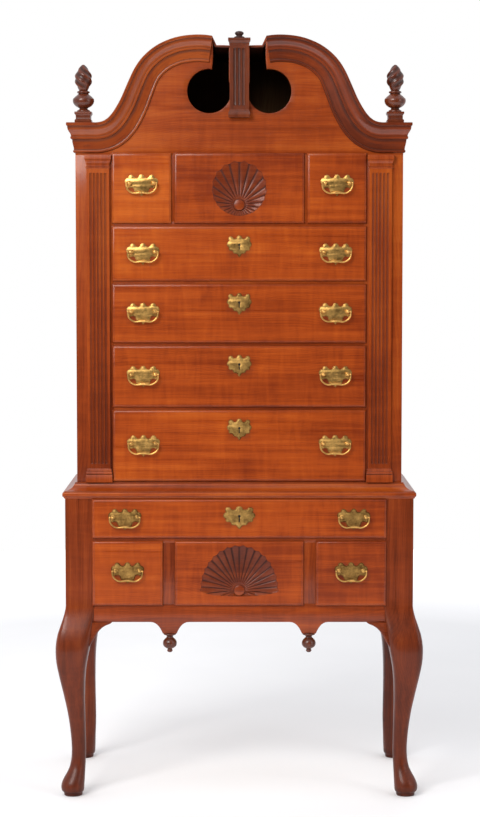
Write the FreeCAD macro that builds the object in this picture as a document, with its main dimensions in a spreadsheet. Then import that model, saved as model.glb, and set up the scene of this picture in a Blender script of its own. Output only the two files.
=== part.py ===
import FreeCAD, Part
import math
import os
import re
from FreeCAD import Vector, Placement, Rotation

# Bonnet-top highboy: a lower case on four cabriole legs carries an upper case
# of graduated drawers under a closed, swan-neck bonnet.
# Frame: +Z up, the drawers face -Y, the origin is on the floor at the middle
# of the footprint. "Left" and "right" are those of a person facing the drawers.

doc = FreeCAD.newDocument("highboy")

# ---------------------------------------------------------------- dimensions
ROWS = [
    ("front_plane", -250.0, "Y of the lower case front"),
    ("case_depth", 500.0, "depth of the lower case"),
    ("lower_half", 494.0, "half width of the lower case"),
    ("post", 82.0, "square leg post"),
    ("board", 20.0, "case side thickness"),
    ("lower_top", 872.0, "top of the lower case"),
    ("knee_top", 550.0, "height where the post turns into the knee"),
    ("apron_low", 503.0, "underside of the flat apron"),
    ("apron_top", 556.0, "top of the apron"),
    ("mid_rail_low", 731.0, "underside of the rail under the long drawer"),
    ("mid_rail_top", 749.0, "top of the rail under the long drawer"),
    ("top_rail_low", 850.0, "underside of the top rail of the lower case"),
    ("lower_post_in", 178.0, "inner edge of the lower partitions"),
    ("lower_post_out", 222.0, "outer edge of the lower partitions"),
    ("setback", 32.5, "upper case set back from the lower one"),
    ("upper_back_gap", 10.0, "upper case back in front of the lower back"),
    ("stile", 107.5, "width of the upper front stiles"),
    ("face", 22.0, "thickness of face frame members"),
    ("rail", 18.0, "thickness of the drawer rails"),
    ("rail_deep", 60.0, "depth of the drawer rails"),
    ("base_rail_top", 908.0, "top of the upper case bottom rail"),
    ("rail_d_mid", 1110.5, "centre height of the rail over the bottom drawer"),
    ("rail_c_mid", 1293.0, "centre height of the rail over the fourth row"),
    ("rail_b_mid", 1467.5, "centre height of the rail over the third row"),
    ("rail_a_mid", 1630.0, "centre height of the rail under the top row"),
    ("pediment_low", 1826.0, "underside of the pediment board"),
    ("tier_post_in", 178.5, "inner edge of the top row partitions"),
    ("tier_post_out", 196.5, "outer edge of the top row partitions"),
    ("cornice_low", 1831.0, "underside of the cornice at the corners"),
    ("cornice_top", 1916.0, "top of the cornice at the corners"),
    ("hood", 7.0, "thickness of the bonnet boards"),
    ("hood_flat", 2132.0, "height of the bonnet between the two arches"),
    ("back_board", 12.0, "thickness of the back boards"),
    ("lip_front", 9.0, "how far the drawer lip stands proud"),
    ("lip_gap", 0.4, "gap between the lip and the case"),
    ("lip_over", 5.5, "overlap of the lip on the case"),
    ("front_in", 14.0, "drawer front thickness inside the opening"),
    ("side_gap", 1.5, "clearance beside a drawer"),
    ("lift", 0.4, "clearance under a drawer"),
    ("drawer_side", 11.0, "drawer side thickness"),
    ("drawer_base", 8.0, "drawer bottom thickness"),
    ("upper_box", 400.0, "length of an upper drawer behind the case front"),
    ("lower_box", 432.0, "length of a lower drawer behind the case front"),
    ("pilaster", 9.0, "thickness of the fluted pilasters"),
    ("pilaster_in", 366.0, "inner edge of a pilaster"),
    ("pilaster_out", 430.0, "outer edge of a pilaster"),
    ("flute", 3.4, "radius of a flute"),
    ("plate", 1.5, "thickness of a brass plate"),
    ("post_reach", 22.0, "bail pivot in front of the case front"),
    ("post_half", 34.0, "half distance between two bail posts"),
    ("pivot_up", 6.0, "bail pivot above the plate centre"),
    ("pin_radius", 1.5, "radius of the bail pins"),
    ("pin_hole", 1.58, "radius of the bail pin holes"),
    ("shank", 2.0, "radius of a post shank"),
    ("rod", 2.3, "radius of the bail rod"),
]
dims = doc.addObject("Spreadsheet::Sheet", "dims")
for row, (alias, value, note) in enumerate(ROWS, 1):
    dims.set("A%d" % row, note)
    dims.set("B%d" % row, str(value))
    dims.setAlias("B%d" % row, alias)
doc.recompute()
D = {alias: float(dims.get(alias)) for alias, value, note in ROWS}

YF = D["front_plane"]
YB = YF + D["case_depth"]
YU = YF + D["setback"]
UH = D["lower_half"] - D["setback"]

# names used in the expressions below for places that several pieces share
SHORT = {
    "yf": "front_plane",
    "yb": "(front_plane+case_depth)",
    "yu": "(front_plane+setback)",
    "yub": "(front_plane+case_depth-upper_back_gap)",
    "uh": "(lower_half-setback)",
    "open_half": "(lower_half-setback-stile)",
}


def E(text):
    """Writes an expression in the sheet's aliases."""
    text = re.sub(r"[a-z][a-z_]*", lambda m: SHORT.get(m.group(0), m.group(0)), str(text))
    return re.sub(r"[a-z][a-z_]*", lambda m: "dims." + m.group(0) if m.group(0) in D else m.group(0), text)


nodes = {}


def node(name, *parts):
    """Groups the separate solids of one sub-part under its name."""
    flat = []
    for p in parts:
        flat.extend(p if isinstance(p, (list, tuple)) else [p])
    if len(flat) == 1:
        obj = flat[0]
    else:
        obj = doc.addObject("Part::Compound", name + "_set")
        obj.Links = flat
    obj.Label = name
    nodes[name] = obj
    return obj


def box(name, x, y, z):
    """A board between two expressions on each axis."""
    obj = doc.addObject("Part::Box", name)
    for prop, axis, (low, high) in (("Length", "x", x), ("Width", "y", y), ("Height", "z", z)):
        obj.setExpression(prop, E("(%s)-(%s)" % (high, low)))
        obj.setExpression(".Placement.Base." + axis, E(low))
    return obj


def cylinder(name, radius, height, base, direction):
    obj = doc.addObject("Part::Cylinder", name)
    obj.setExpression("Radius", E(radius))
    obj.setExpression("Height", E(height))
    obj.Placement = Placement(Vector(0, 0, 0), Rotation(Vector(0, 0, 1), Vector(*direction)))
    for axis, text in zip("xyz", base):
        obj.setExpression(".Placement.Base." + axis, E(text))
    return obj


def cut(name, base, tools):
    obj = doc.addObject("Part::Cut", name)
    obj.Base = base
    if len(tools) == 1:
        obj.Tool = tools[0]
    else:
        group = doc.addObject("Part::Compound", name + "_tools")
        group.Links = tools
        obj.Tool = group
    return obj


def fuse(name, parts):
    obj = doc.addObject("Part::MultiFuse", name)
    obj.Shapes = parts
    return obj


def mirror(name, source, normal, base=(0, 0, 0)):
    obj = doc.addObject("Part::Mirroring", name)
    obj.Source = source
    obj.Normal = Vector(*normal)
    obj.Base = Vector(*base)
    return obj


def plane_of(body, role):
    return [f for f in body.Origin.OriginFeatures if f.Role == role][0]


def sketch_on(body, name, role, offset):
    sk = body.newObject("Sketcher::SketchObject", name)
    sk.AttachmentSupport = [(plane_of(body, role), "")]
    sk.MapMode = "FlatFace"
    sk.setExpression(".AttachmentOffset.Base.z", E(offset))
    return sk


def lines(points):
    loop = [Vector(a, b, 0) for a, b in points]
    return [Part.LineSegment(loop[i], loop[(i + 1) % len(loop)]) for i in range(len(loop))]


def outline_body(name, loops, y_low, y_high, role="XZ_Plane"):
    """A board cut to an outline and as thick as from y_low to y_high.
    Outlines in the XZ plane run along Y, those in the YZ plane along X."""
    body = doc.addObject("PartDesign::Body", name)
    if role == "XZ_Plane":
        sk = sketch_on(body, name + "_outline", role, "-(%s)" % y_high)
    else:
        sk = sketch_on(body, name + "_outline", role, y_low)
    for loop in loops:
        sk.addGeometry(loop, False)
    pad = body.newObject("PartDesign::Pad", name + "_pad")
    pad.Profile = sk
    pad.setExpression("Length", E("(%s)-(%s)" % (y_high, y_low)))
    return body


def turned(name, profile, role="XZ_Plane"):
    """A turned piece; profile holds (radius, height) from one end to the other."""
    body = doc.addObject("PartDesign::Body", name)
    sk = sketch_on(body, name + "_profile", role, "0")
    sk.addGeometry(lines(profile), False)
    rev = body.newObject("PartDesign::Revolution", name + "_turn")
    rev.Profile = sk
    rev.ReferenceAxis = (sk, ["V_Axis"])
    rev.Angle = 360
    return body


def instance(name, source, place):
    """One more piece of the same pattern, put at its own place."""
    obj = doc.addObject("Part::Feature", name)
    obj.Shape = source.Shape.copy()
    obj.Placement = place
    return obj


# ---------------------------------------------------------------------- legs
# Cabriole leg: the square post runs up the corner of the lower case; below it
# the knee swells to the outer corner and the ankle draws in over a pad foot.
# height: (outer edge, inner edge, squareness)
LEG = [
    (550, 494.0, 413.0, 9.0), (525, 499.5, 413.5, 8.0), (500, 507.0, 416.0, 7.0), (470, 517.0, 420.5, 6.0),
    (440, 522.5, 425.0, 5.0), (420, 523.5, 428.5, 4.6), (400, 523.0, 432.5, 4.2), (370, 519.0, 437.5, 3.8),
    (340, 514.0, 440.5, 3.4), (310, 507.0, 441.8, 3.1), (280, 500.5, 442.3, 2.9), (250, 494.0, 442.3, 2.7),
    (220, 489.0, 442.0, 2.5), (190, 485.5, 441.5, 2.4), (160, 483.0, 440.8, 2.3), (130, 481.3, 440.3, 2.2),
    (105, 481.7, 440.8, 2.2), (85, 485.0, 441.8, 2.1), (70, 490.2, 443.0, 2.1), (55, 499.0, 443.5, 2.1),
    (40, 507.0, 444.0, 2.1), (25, 511.0, 444.5, 2.1), (12, 508.0, 446.5, 2.1), (0, 502.0, 451.0, 2.1),
]


def leg_section(outer, inner, power, count=28):
    """Rounded square about the leg's middle, in the plan of the right front leg."""
    half = (outer - inner) / 2.0
    cx = (outer + inner) / 2.0
    cy = YF + D["lower_half"] - cx
    pts = []
    for k in range(count):
        a = 2 * math.pi * (k + 0.5) / count
        c, s = math.cos(a), math.sin(a)
        r = half * (abs(c) ** power + abs(s) ** power) ** (-1.0 / power)
        pts.append(Vector(cx + r * c, cy + r * s, 0))
    curve = Part.BSplineCurve()
    curve.interpolate(Points=pts, PeriodicFlag=True)
    return curve


leg = doc.addObject("PartDesign::Body", "leg_front_right_body")
post_sketch = sketch_on(leg, "leg_post_outline", "XY_Plane", "knee_top")
post_sketch.addGeometry(lines([(D["lower_half"] - D["post"], YF), (D["lower_half"], YF),
                               (D["lower_half"], YF + D["post"]), (D["lower_half"] - D["post"], YF + D["post"])]), False)
post_pad = leg.newObject("PartDesign::Pad", "leg_post")
post_pad.Profile = post_sketch
post_pad.setExpression("Length", E("lower_top-knee_top"))
leg_sketches = []
for height, outer, inner, power in LEG:
    sk = sketch_on(leg, "leg_at_%d" % height, "XY_Plane", height)
    sk.addGeometry(leg_section(outer, inner, power), False)
    leg_sketches.append(sk)
leg_loft = leg.newObject("PartDesign::AdditiveLoft", "leg_cabriole")
leg_loft.Profile = leg_sketches[0]
leg_loft.Sections = leg_sketches[1:]
doc.recompute()
YMID = YF + D["case_depth"] / 2.0
node("leg_front_right", leg)
leg_fl = node("leg_front_left", mirror("leg_front_left_m", leg, (1, 0, 0)))
leg_rr = node("leg_rear_right", mirror("leg_rear_right_m", leg, (0, 1, 0), (0, YMID, 0)))
node("leg_rear_left", mirror("leg_rear_left_m", leg_rr, (1, 0, 0)))

# ---------------------------------------------------------------- lower case
side_y0, side_y1 = YF + D["post"], YB - D["post"]
side_mid = (side_y0 + side_y1) / 2.0


def side_outline():
    """Side board between two posts, its lower edge a flat arch with cusps."""
    low = D["apron_low"]
    pts = [(side_y0, D["lower_top"]), (side_y0, low)]
    pts += [(side_y0 + 34, low), (side_y0 + 46, low - 11.0), (side_y0 + 58, low - 14.0), (side_y0 + 70, low - 9.0),
            (side_y0 + 80, low + 3.0), (side_y0 + 96, low + 13.0), (side_y0 + 116, low + 17.0)]
    pts += [(side_mid * 2 - a, b) for a, b in reversed(pts)]
    return pts


side = outline_body("lower_side_right_body", [lines(side_outline())], "lower_half-board", "lower_half", "YZ_Plane")
node("lower_side_right", side)
node("lower_side_left", mirror("lower_side_left_m", side, (1, 0, 0)))
node("lower_back_board", box("lower_back", ("-lower_half+post", "lower_half-post"), ("yb-18", "yb-4"), ("apron_low", "lower_top")))

apron_half = D["lower_half"] - D["post"]
LOW = D["apron_low"]
APRON = [(apron_half, LOW), (355.0, LOW), (253.0, LOW), (243.5, LOW - 1.5), (235.0, LOW - 6.5), (228.5, LOW - 13.0), (223.5, LOW - 20.5),
         (219.5, LOW - 28.0), (218.0, LOW - 33.0), (178.0, LOW - 33.0), (176.5, LOW - 28.0), (172.5, LOW - 20.5), (167.5, LOW - 13.0),
         (161.0, LOW - 6.5), (152.5, LOW - 1.5), (143.0, LOW)]
apron_loop = [(apron_half, D["apron_top"])] + APRON
apron_loop += [(-a, b) for a, b in reversed(apron_loop)]
node("apron", outline_body("apron_board", [lines(apron_loop)], "yf", "yf+face"))

node("lower_drawer_rails",
     box("lower_top_rail", ("-lower_half+post", "lower_half-post"), ("yf", "yf+post"), ("top_rail_low", "lower_top")),
     box("lower_mid_rail", ("-lower_half+post", "lower_half-post"), ("yf", "yf+post"), ("mid_rail_low", "mid_rail_top")),
     box("lower_post_right", ("lower_post_in", "lower_post_out"), ("yf", "yf+face"), ("apron_top", "mid_rail_low")),
     box("lower_post_left", ("-lower_post_out", "-lower_post_in"), ("yf", "yf+face"), ("apron_top", "mid_rail_low")))

runner_parts = []
for tag, sgn in (("right", 1), ("left", -1)):
    def xs(a, b):
        return (a, b) if sgn > 0 else ("-(%s)" % b, "-(%s)" % a)
    runner_parts += [
        box("long_runner_" + tag, xs("380", "lower_half-board"), ("yf+post", "yb-post"), ("mid_rail_low", "mid_rail_top")),
        box("long_guide_" + tag, xs("lower_half-post", "lower_half-post+18"), ("yf+post", "yb-post"), ("mid_rail_top", "mid_rail_top+24")),
        box("long_kicker_" + tag, xs("lower_half-post", "lower_half-board"), ("yf+post", "yb-post"), ("top_rail_low", "lower_top")),
        box("short_runner_" + tag, xs("380", "lower_half-board"), ("yf+post", "yb-post"), ("apron_top-18", "apron_top")),
        box("short_guide_" + tag, xs("lower_half-post", "lower_half-post+18"), ("yf+post", "yb-post"), ("apron_top", "apron_top+24")),
        box("inner_runner_" + tag, xs("150", "250"), ("yf+face", "yb-18"), ("apron_top-18", "apron_top")),
        box("inner_guide_" + tag, xs("lower_post_in", "lower_post_out"), ("yf+face", "yb-18"), ("apron_top", "apron_top+24")),
    ]
node("lower_runners", runner_parts)

# knee brackets: glued blocks that carry the curve of each knee into the apron
BRACKET = [(-3.2, 0.0), (50.0, 0.0), (45.0, -4.0), (32.0, -9.0), (20.0, -17.0), (10.0, -28.5), (2.5, -41.0), (-4.5, -54.0),
           (-12.5, -68.0), (-7.5, -33.0)]
inner_leg = D["lower_half"] - D["post"]
front_loop = [(inner_leg - a, LOW + b) for a, b in BRACKET]
bracket = outline_body("front_bracket", [lines(front_loop)], "yf-6", "yf+face")
side_loop = [(side_y0 - 3.2, LOW), (side_y0 + 31.0, LOW)] + [(side_y0 + a * (0.62 if a > 0 else 1.0), LOW + b) for a, b in BRACKET[3:]]
side_bracket = outline_body("side_bracket", [lines(side_loop)], "lower_half-face", "lower_half+6", "YZ_Plane")
side_bracket_rear = mirror("side_bracket_rear", side_bracket, (0, 1, 0), (0, YMID, 0))
node("knee_brackets", bracket, mirror("front_bracket_left", bracket, (1, 0, 0)),
     side_bracket, mirror("side_bracket_left", side_bracket, (1, 0, 0)),
     side_bracket_rear, mirror("side_bracket_rear_left", side_bracket_rear, (1, 0, 0)))

# turned drops under the apron cusps
DROP = [(0, 470), (18.5, 470), (18.5, 466), (12, 463.5), (9.5, 460), (10.5, 457), (15, 452.5), (19, 447), (20, 441),
        (18.5, 435), (14.5, 430), (9, 426), (7, 423.5), (8, 421), (7.2, 417.5), (4, 415), (0, 414.4)]
drop = turned("apron_drop_pattern", [(r, z) for r, z in DROP])
doc.recompute()
node("apron_drops",
     instance("apron_drop_right", drop, Placement(Vector(198, YF + D["face"] / 2, 0), Rotation())),
     instance("apron_drop_left", drop, Placement(Vector(-198, YF + D["face"] / 2, 0), Rotation())))

# waist moulding: mitred on three sides, rebated over the edge of the lower case
WAIST = [(-32.5, 900.0), (-32.5, 872.0), (0.0, 872.0), (0.0, 856.0), (4.0, 856.0), (5.5, 860.0), (7.0, 862.0), (7.0, 868.0),
         (4.0, 871.0), (1.0, 873.0), (-8.0, 876.5), (-17.0, 883.0), (-24.0, 891.0), (-27.0, 896.0), (-27.0, 900.0)]


def moulding_end(name, place):
    """The moulding's section as a closed wire; place gives x and y for an outward distance."""
    pts = []
    for out, z in WAIST:
        x, y = place(out)
        pts.append(Vector(x, y, z))
    obj = doc.addObject("Part::Feature", name)
    obj.Shape = Part.makePolygon(pts + [pts[0]])
    return obj


def loft(name, ends):
    obj = doc.addObject("Part::Loft", name)
    obj.Sections = ends
    obj.Solid = True
    obj.Ruled = True
    return obj


LH = D["lower_half"]
waist_front = loft("waist_front", [
    moulding_end("waist_end_a", lambda o: (-(LH + o), YF - o)),
    moulding_end("waist_end_b", lambda o: (LH + o, YF - o))])
waist_right = loft("waist_right", [
    moulding_end("waist_end_c", lambda o: (LH + o, YF - o)),
    moulding_end("waist_end_d", lambda o: (LH + o, YB - D["upper_back_gap"]))])
node("waist_moulding", waist_front, waist_right, mirror("waist_left", waist_right, (1, 0, 0)))

# ---------------------------------------------------------------- upper case
upper_side = box("upper_side", ("uh-board", "uh"), ("yu+face", "yub"), ("lower_top", "cornice_top-hood"))
node("upper_side_right", upper_side)
node("upper_side_left", mirror("upper_side_left_m", upper_side, (1, 0, 0)))
node("upper_boards",
     box("upper_floor", ("-uh+board", "uh-board"), ("yu+face", "yub-back_board"), ("lower_top", "lower_top+18")),
     box("upper_ceiling", ("-uh+board", "uh-board"), ("yu+face", "yub-back_board"), (1834, 1850)))
stile_right = box("stile_right", ("open_half", "uh"), ("yu", "yu+face"), ("lower_top", "pediment_low"))
node("upper_stiles", stile_right, mirror("stile_left", stile_right, (1, 0, 0)))

RAILS = [("base", "base_rail_top-18", "base_rail_top"), ("d", "rail_d_mid-rail/2", "rail_d_mid+rail/2"),
         ("c", "rail_c_mid-rail/2", "rail_c_mid+rail/2"), ("b", "rail_b_mid-rail/2", "rail_b_mid+rail/2"),
         ("a", "rail_a_mid-rail/2", "rail_a_mid+rail/2")]
rail_parts = [box("bottom_rail", ("-open_half", "open_half"), ("yu", "yu+face"), ("lower_top", "base_rail_top"))]
runner_parts = []
for tag, low, high in RAILS:
    if tag != "base":
        rail_parts.append(box("rail_" + tag, ("-open_half", "open_half"), ("yu", "yu+rail_deep"), (low, high)))
    start = "yu+face" if tag == "base" else "yu+rail_deep"
    for hand, sgn in (("right", 1), ("left", -1)):
        def xs(a, b):
            return (a, b) if sgn > 0 else ("-(%s)" % b, "-(%s)" % a)
        runner_parts += [
            box("runner_%s_%s" % (tag, hand), xs("330", "uh-board"), (start, "yub-back_board"), (low, high)),
            box("guide_%s_%s" % (tag, hand), xs("open_half", "open_half+18"), ("yu+face", "yub-back_board"), (high, "(%s)+20" % high)),
        ]
        if tag == "a":
            runner_parts += [
                box("tier_runner_" + hand, xs("150", "225"), (start, "yub-back_board"), (low, high)),
                box("tier_guide_" + hand, xs("tier_post_in", "tier_post_out"), ("yu+face", "yub-back_board"), (high, "(%s)+20" % high)),
            ]
            rail_parts.append(box("tier_post_" + hand, xs("tier_post_in", "tier_post_out"), ("yu", "yu+face"), (high, "pediment_low")))
node("upper_drawer_rails", rail_parts)
node("upper_runners", runner_parts)

# fluted pilasters with a plain foot and head block
FLUTES = 5
flute_step = (D["pilaster_out"] - D["pilaster_in"] - 14.0) / FLUTES
pil = doc.addObject("PartDesign::Body", "pilaster_right_body")
sk = sketch_on(pil, "pilaster_plan", "XY_Plane", "940")
sk.addGeometry(lines([(D["pilaster_in"], YU - D["pilaster"]), (D["pilaster_out"], YU - D["pilaster"]),
                      (D["pilaster_out"], YU), (D["pilaster_in"], YU)]), False)
pad = pil.newObject("PartDesign::Pad", "pilaster_shaft")
pad.Profile = sk
pad.Length = 848.0
doc.recompute()
sk = sketch_on(pil, "flute_plan", "XY_Plane", "952")
first_x = D["pilaster_in"] + 7.0 + flute_step / 2.0
sk.addGeometry(Part.Circle(Vector(first_x, YU - D["pilaster"], 0), Vector(0, 0, 1), D["flute"]), False)
pocket = pil.newObject("PartDesign::Pocket", "flute_cut")
pocket.Profile = sk
pocket.Length = 824.0
pocket.Reversed = True
doc.recompute()
before = pad.Shape.Volume
if pocket.Shape.Volume > before - 1000.0:
    raise RuntimeError("the flute cuts nothing")
pattern = pil.newObject("PartDesign::LinearPattern", "flutes")
pattern.Originals = [pocket]
pattern.Direction = (sk, ["H_Axis"])
pattern.Length = flute_step * (FLUTES - 1)
pattern.Occurrences = FLUTES
pil.Tip = pattern
doc.recompute()
if pattern.Shape.Volume > before - (before - pocket.Shape.Volume) * (FLUTES - 0.5):
    raise RuntimeError("the flutes do not repeat")
pil_foot = box("pilaster_foot", ("pilaster_in-5", "pilaster_out+5"), ("yu-pilaster-5", "yu"), (900, 940))
pil_head = box("pilaster_head", ("pilaster_in-4", "pilaster_out+4"), ("yu-pilaster-4", "yu"), (1788, "pediment_low"))
pil_right = fuse("pilaster_right", [pil, pil_foot, pil_head])
node("pilasters", pil_right, mirror("pilaster_left", pil_right, (1, 0, 0)))

# --------------------------------------------------------------------- bonnet
# Swan-neck outline of the bonnet, from the outer corner to the arch end.
SWAN = [(UH, 1916.0), (400.0, 1916.0), (384.0, 1919.0), (370.0, 1927.0), (356.0, 1942.0), (343.0, 1962.0), (331.0, 1984.0),
        (320.0, 2009.0), (308.0, 2036.0), (296.0, 2061.0), (283.0, 2082.0), (270.0, 2098.0), (256.0, 2111.5), (240.0, 2124.0),
        (222.0, 2135.0), (202.0, 2144.0), (180.0, 2151.5), (156.0, 2156.5), (132.0, 2159.0), (111.0, 2159.5), (92.0, 2158.5), (75.0, 2156.0)]
ROOF = SWAN + [(64.0, D["hood_flat"]), (0.0, D["hood_flat"])]


def inset(points, distance):
    """The outline moved square to itself towards the inside of the case."""
    out = []
    for i, (x, z) in enumerate(points):
        x0, z0 = points[max(i - 1, 0)]
        x1, z1 = points[min(i + 1, len(points) - 1)]
        length = math.hypot(x1 - x0, z1 - z0)
        tx, tz = (x1 - x0) / length, (z1 - z0) / length
        gap = distance(i) if callable(distance) else distance
        out.append((x + tz * -gap, z + tx * gap))
    return out


under = inset(ROOF, D["hood"])
under = [(UH, D["cornice_top"] - D["hood"])] + under[1:-1] + [(0.0, D["hood_flat"] - D["hood"])]
full_under = under + [(-x, z) for x, z in reversed(under[:-1])]
full_roof = ROOF + [(-x, z) for x, z in reversed(ROOF[:-1])]

# pediment board: two round openings with slots that rise to its upper edge,
# and a tongue between them that carries the middle plinth
EYE = (84.5, 2004.5, 62.0)
SLOT_IN, SLOT_OUT = 29.0, 74.0


def opening():
    """From the tongue's top corner down the slot, round the eye, and up again."""
    pts = [(SLOT_IN, D["hood_flat"] - D["hood"])]
    start = math.atan2(math.sqrt(EYE[2] ** 2 - (SLOT_IN - EYE[0]) ** 2), SLOT_IN - EYE[0])
    stop = math.atan2(math.sqrt(EYE[2] ** 2 - (SLOT_OUT + 3.0 - EYE[0]) ** 2), SLOT_OUT + 3.0 - EYE[0]) - 2 * math.pi
    turn = 2 * math.pi - (start - (stop + 2 * math.pi))
    for k in range(29):
        a = start + turn * k / 28.0
        pts.append((EYE[0] + EYE[2] * math.cos(a), EYE[1] + EYE[2] * math.sin(a)))
    pts.append((SLOT_OUT, 2098.0))
    pts.append((SLOT_OUT, slot_top))
    return pts


over = [p for p in full_under if p[0] > SLOT_OUT + 0.5]
last, first = over[-1], [p for p in full_under if p[0] <= SLOT_OUT + 0.5][0]
slot_top = last[1] + (first[1] - last[1]) * (last[0] - SLOT_OUT) / (last[0] - first[0])
right_half = over + list(reversed(opening()))
pediment_loop = [(-UH, D["pediment_low"]), (UH, D["pediment_low"])] + right_half + [(-x, z) for x, z in reversed(right_half)]
node("pediment_board", outline_body("pediment", [lines(pediment_loop)], "yu", "yu+face"))

back_loop = [(-UH + 20.0, 890.0), (UH - 20.0, 890.0), (UH - 20.0, D["cornice_top"] - D["hood"])] + full_under[1:-1] + [(-UH + 20.0, D["cornice_top"] - D["hood"])]
node("upper_back_board", outline_body("upper_back", [lines(back_loop)], "yub-back_board", "yub"))
hood_loop = full_roof + list(reversed(full_under))
node("bonnet_hood", outline_body("hood_boards", [lines(hood_loop)], "yu", "yub"))

# cornice: stepped swan-neck mouldings on the front, straight returns on the sides
STEPS = [(1.0, 7.0), (0.72, 15.0), (0.4, 24.0)]
WIDTH_CORNER, WIDTH_ARCH = 85.0, 74.0


def band(share, reach):
    count = len(SWAN)
    inner = inset(SWAN, lambda i: share * (WIDTH_CORNER + (WIDTH_ARCH - WIDTH_CORNER) * min(1.0, max(0.0, (i - 1) / 8.0))))
    inner[0] = (UH, D["cornice_top"] - share * WIDTH_CORNER)
    inner = [p for p in inner if p[0] > 75.0]
    last = inner[-1]
    inner.append((75.0, last[1] - (last[0] - 75.0) * 0.1))
    return [(UH + reach, D["cornice_top"])] + SWAN[1:] + list(reversed(inner[1:])) + [(UH + reach, D["cornice_top"] - share * WIDTH_CORNER)]


front_layers = []
side_layers = []
previous = 0.0
for k, (share, reach) in enumerate(STEPS):
    front_layers.append(outline_body("swan_layer_%d" % k, [lines(band(share, reach))], "yu-%s" % reach, "yu-%s" % previous))
    side_layers.append(box("return_layer_%d" % k, ("uh+%s" % previous, "uh+%s" % reach), ("yu", "yub"),
                           ("cornice_top-%s" % (share * WIDTH_CORNER), "cornice_top")))
    previous = reach
swan_right = fuse("swan_right", front_layers)
return_right = fuse("return_right", side_layers)
node("cornice_mouldings", swan_right, mirror("swan_left", swan_right, (1, 0, 0)),
     return_right, mirror("return_left", return_right, (1, 0, 0)))

# plinths: a tall one between the openings, and one over each front corner
PLINTH_Y = YU + 3.0
corner_plinth = box("corner_plinth", ("416", "460"), ("yu-19", "yu+25"), ("cornice_top", "cornice_top+30"))
middle_plinth = box("middle_plinth", ("-27", "27"), ("yu-22", "yu"), (1930, 2151))
node("plinths", middle_plinth, corner_plinth, mirror("corner_plinth_left", corner_plinth, (1, 0, 0)))

FINIAL = [(0, 1946), (17.5, 1946), (17.5, 1951), (12, 1954), (13.5, 1958), (23.5, 1964), (29.5, 1974), (28.5, 1983), (20, 1992),
          (14, 1996), (17, 1999), (17, 2003), (12, 2006), (18, 2015), (24, 2028), (25, 2040), (22.5, 2053), (15, 2067), (6, 2076), (0, 2078)]
STUB = [(0, 2151), (14.5, 2151), (14.5, 2154), (8.5, 2156), (8.5, 2158), (12.5, 2161), (12.5, 2165), (8, 2169), (0, 2170)]
finial = turned("finial_pattern", FINIAL)
stub = turned("middle_finial_pattern", STUB)
doc.recompute()
node("turned_finials",
     instance("finial_right", finial, Placement(Vector(438, PLINTH_Y, 0), Rotation())),
     instance("finial_left", finial, Placement(Vector(-438, PLINTH_Y, 0), Rotation())),
     instance("finial_middle", stub, Placement(Vector(0, YU - 10.0, 0), Rotation())))

# -------------------------------------------------------------------- brasses
# Patterns stand at the origin: case front at y = 0, plate centre at z = 0.
BATWING = [(0, 24), (7, 30.5), (13, 24), (22, 21), (30, 27), (38, 24), (41, 15), (47, 6), (41, -3), (36, -8), (31, -4),
           (24, -8), (20, -16), (12, -22), (6, -26), (0, -31)]
KEYPLATE = [(0, 24), (7, 30.5), (13, 24), (20, 22), (28, 24), (34, 14), (30, 5), (35, -4), (28, -12), (18, -17), (10, -22), (0, -31)]
LIP = D["lip_front"]


def doubled(points, scale=(1.0, 1.0)):
    right = [(x * scale[0], z * scale[1]) for x, z in points]
    return right + [(-x, z) for x, z in reversed(right[1:-1])]


def key_loop(scale=1.0):
    pts = [(-1.5 * scale, -11 * scale), (1.5 * scale, -11 * scale), (1.5 * scale, 0.5 * scale)]
    for k in range(13):
        a = math.radians(-60 + 300 * k / 12.0)
        pts.append((3.4 * scale * math.cos(a), 4.0 * scale + 3.4 * scale * math.sin(a)))
    pts.append((-1.5 * scale, 0.5 * scale))
    return pts


holes = [Part.Circle(Vector(s * D["post_half"], D["pivot_up"], 0), Vector(0, 0, 1), D["shank"] + 0.2) for s in (1, -1)]
pull_plate = outline_body("pull_plate_pattern", [lines(doubled(BATWING)), holes], "-lip_front-plate", "-lip_front")
key_plate = outline_body("key_plate_pattern", [lines(doubled(KEYPLATE)), lines(key_loop())], "-lip_front-plate", "-lip_front")
key_plate_large = outline_body("key_plate_large_pattern", [lines(doubled(KEYPLATE, (1.3, 1.06))), lines(key_loop(1.15))],
                               "-lip_front-plate", "-lip_front")
# bail post: collar, neck, ball with a cross hole, and a shank through the drawer front
PR = D["post_reach"]
plate_face = -(LIP + D["plate"])
BALL = 5.4
ball_pts = []
for k in range(11):
    a = math.radians(-52 + 142 * k / 10.0)
    ball_pts.append((BALL * math.cos(a), -PR - BALL * math.sin(a)))
ball_pts[-1] = (0.0, -PR - BALL)
post_loop = [(0, 19.0), (D["shank"], 19.0), (D["shank"], plate_face), (6.0, plate_face), (6.0, plate_face - 1.6), (3.6, plate_face - 2.6)] + ball_pts
post_body = turned("bail_post_pattern", post_loop, "XY_Plane")
cross = cylinder("bail_post_hole", "pin_hole", "14", ("-7", "-post_reach", "0"), (1, 0, 0))
bail_post = cut("bail_post_drilled", post_body, [cross])
nut = doc.addObject("Part::Prism", "post_nut_blank")
nut.Polygon = 6
nut.Circumradius = 5.2
nut.Height = 3.4
nut.Placement = Placement(Vector(0, D["front_in"] + 3.4, 0), Rotation(Vector(1, 0, 0), 90))
nut_hole = cylinder("post_nut_hole", "shank", "8", ("0", "12", "0"), (0, 1, 0))
post_nut = cut("post_nut_pattern", nut, [nut_hole])

# bail: a rod loop outside the posts, its pins turned inwards into them
HANG = 29.0
REACH = 42.6


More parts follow.
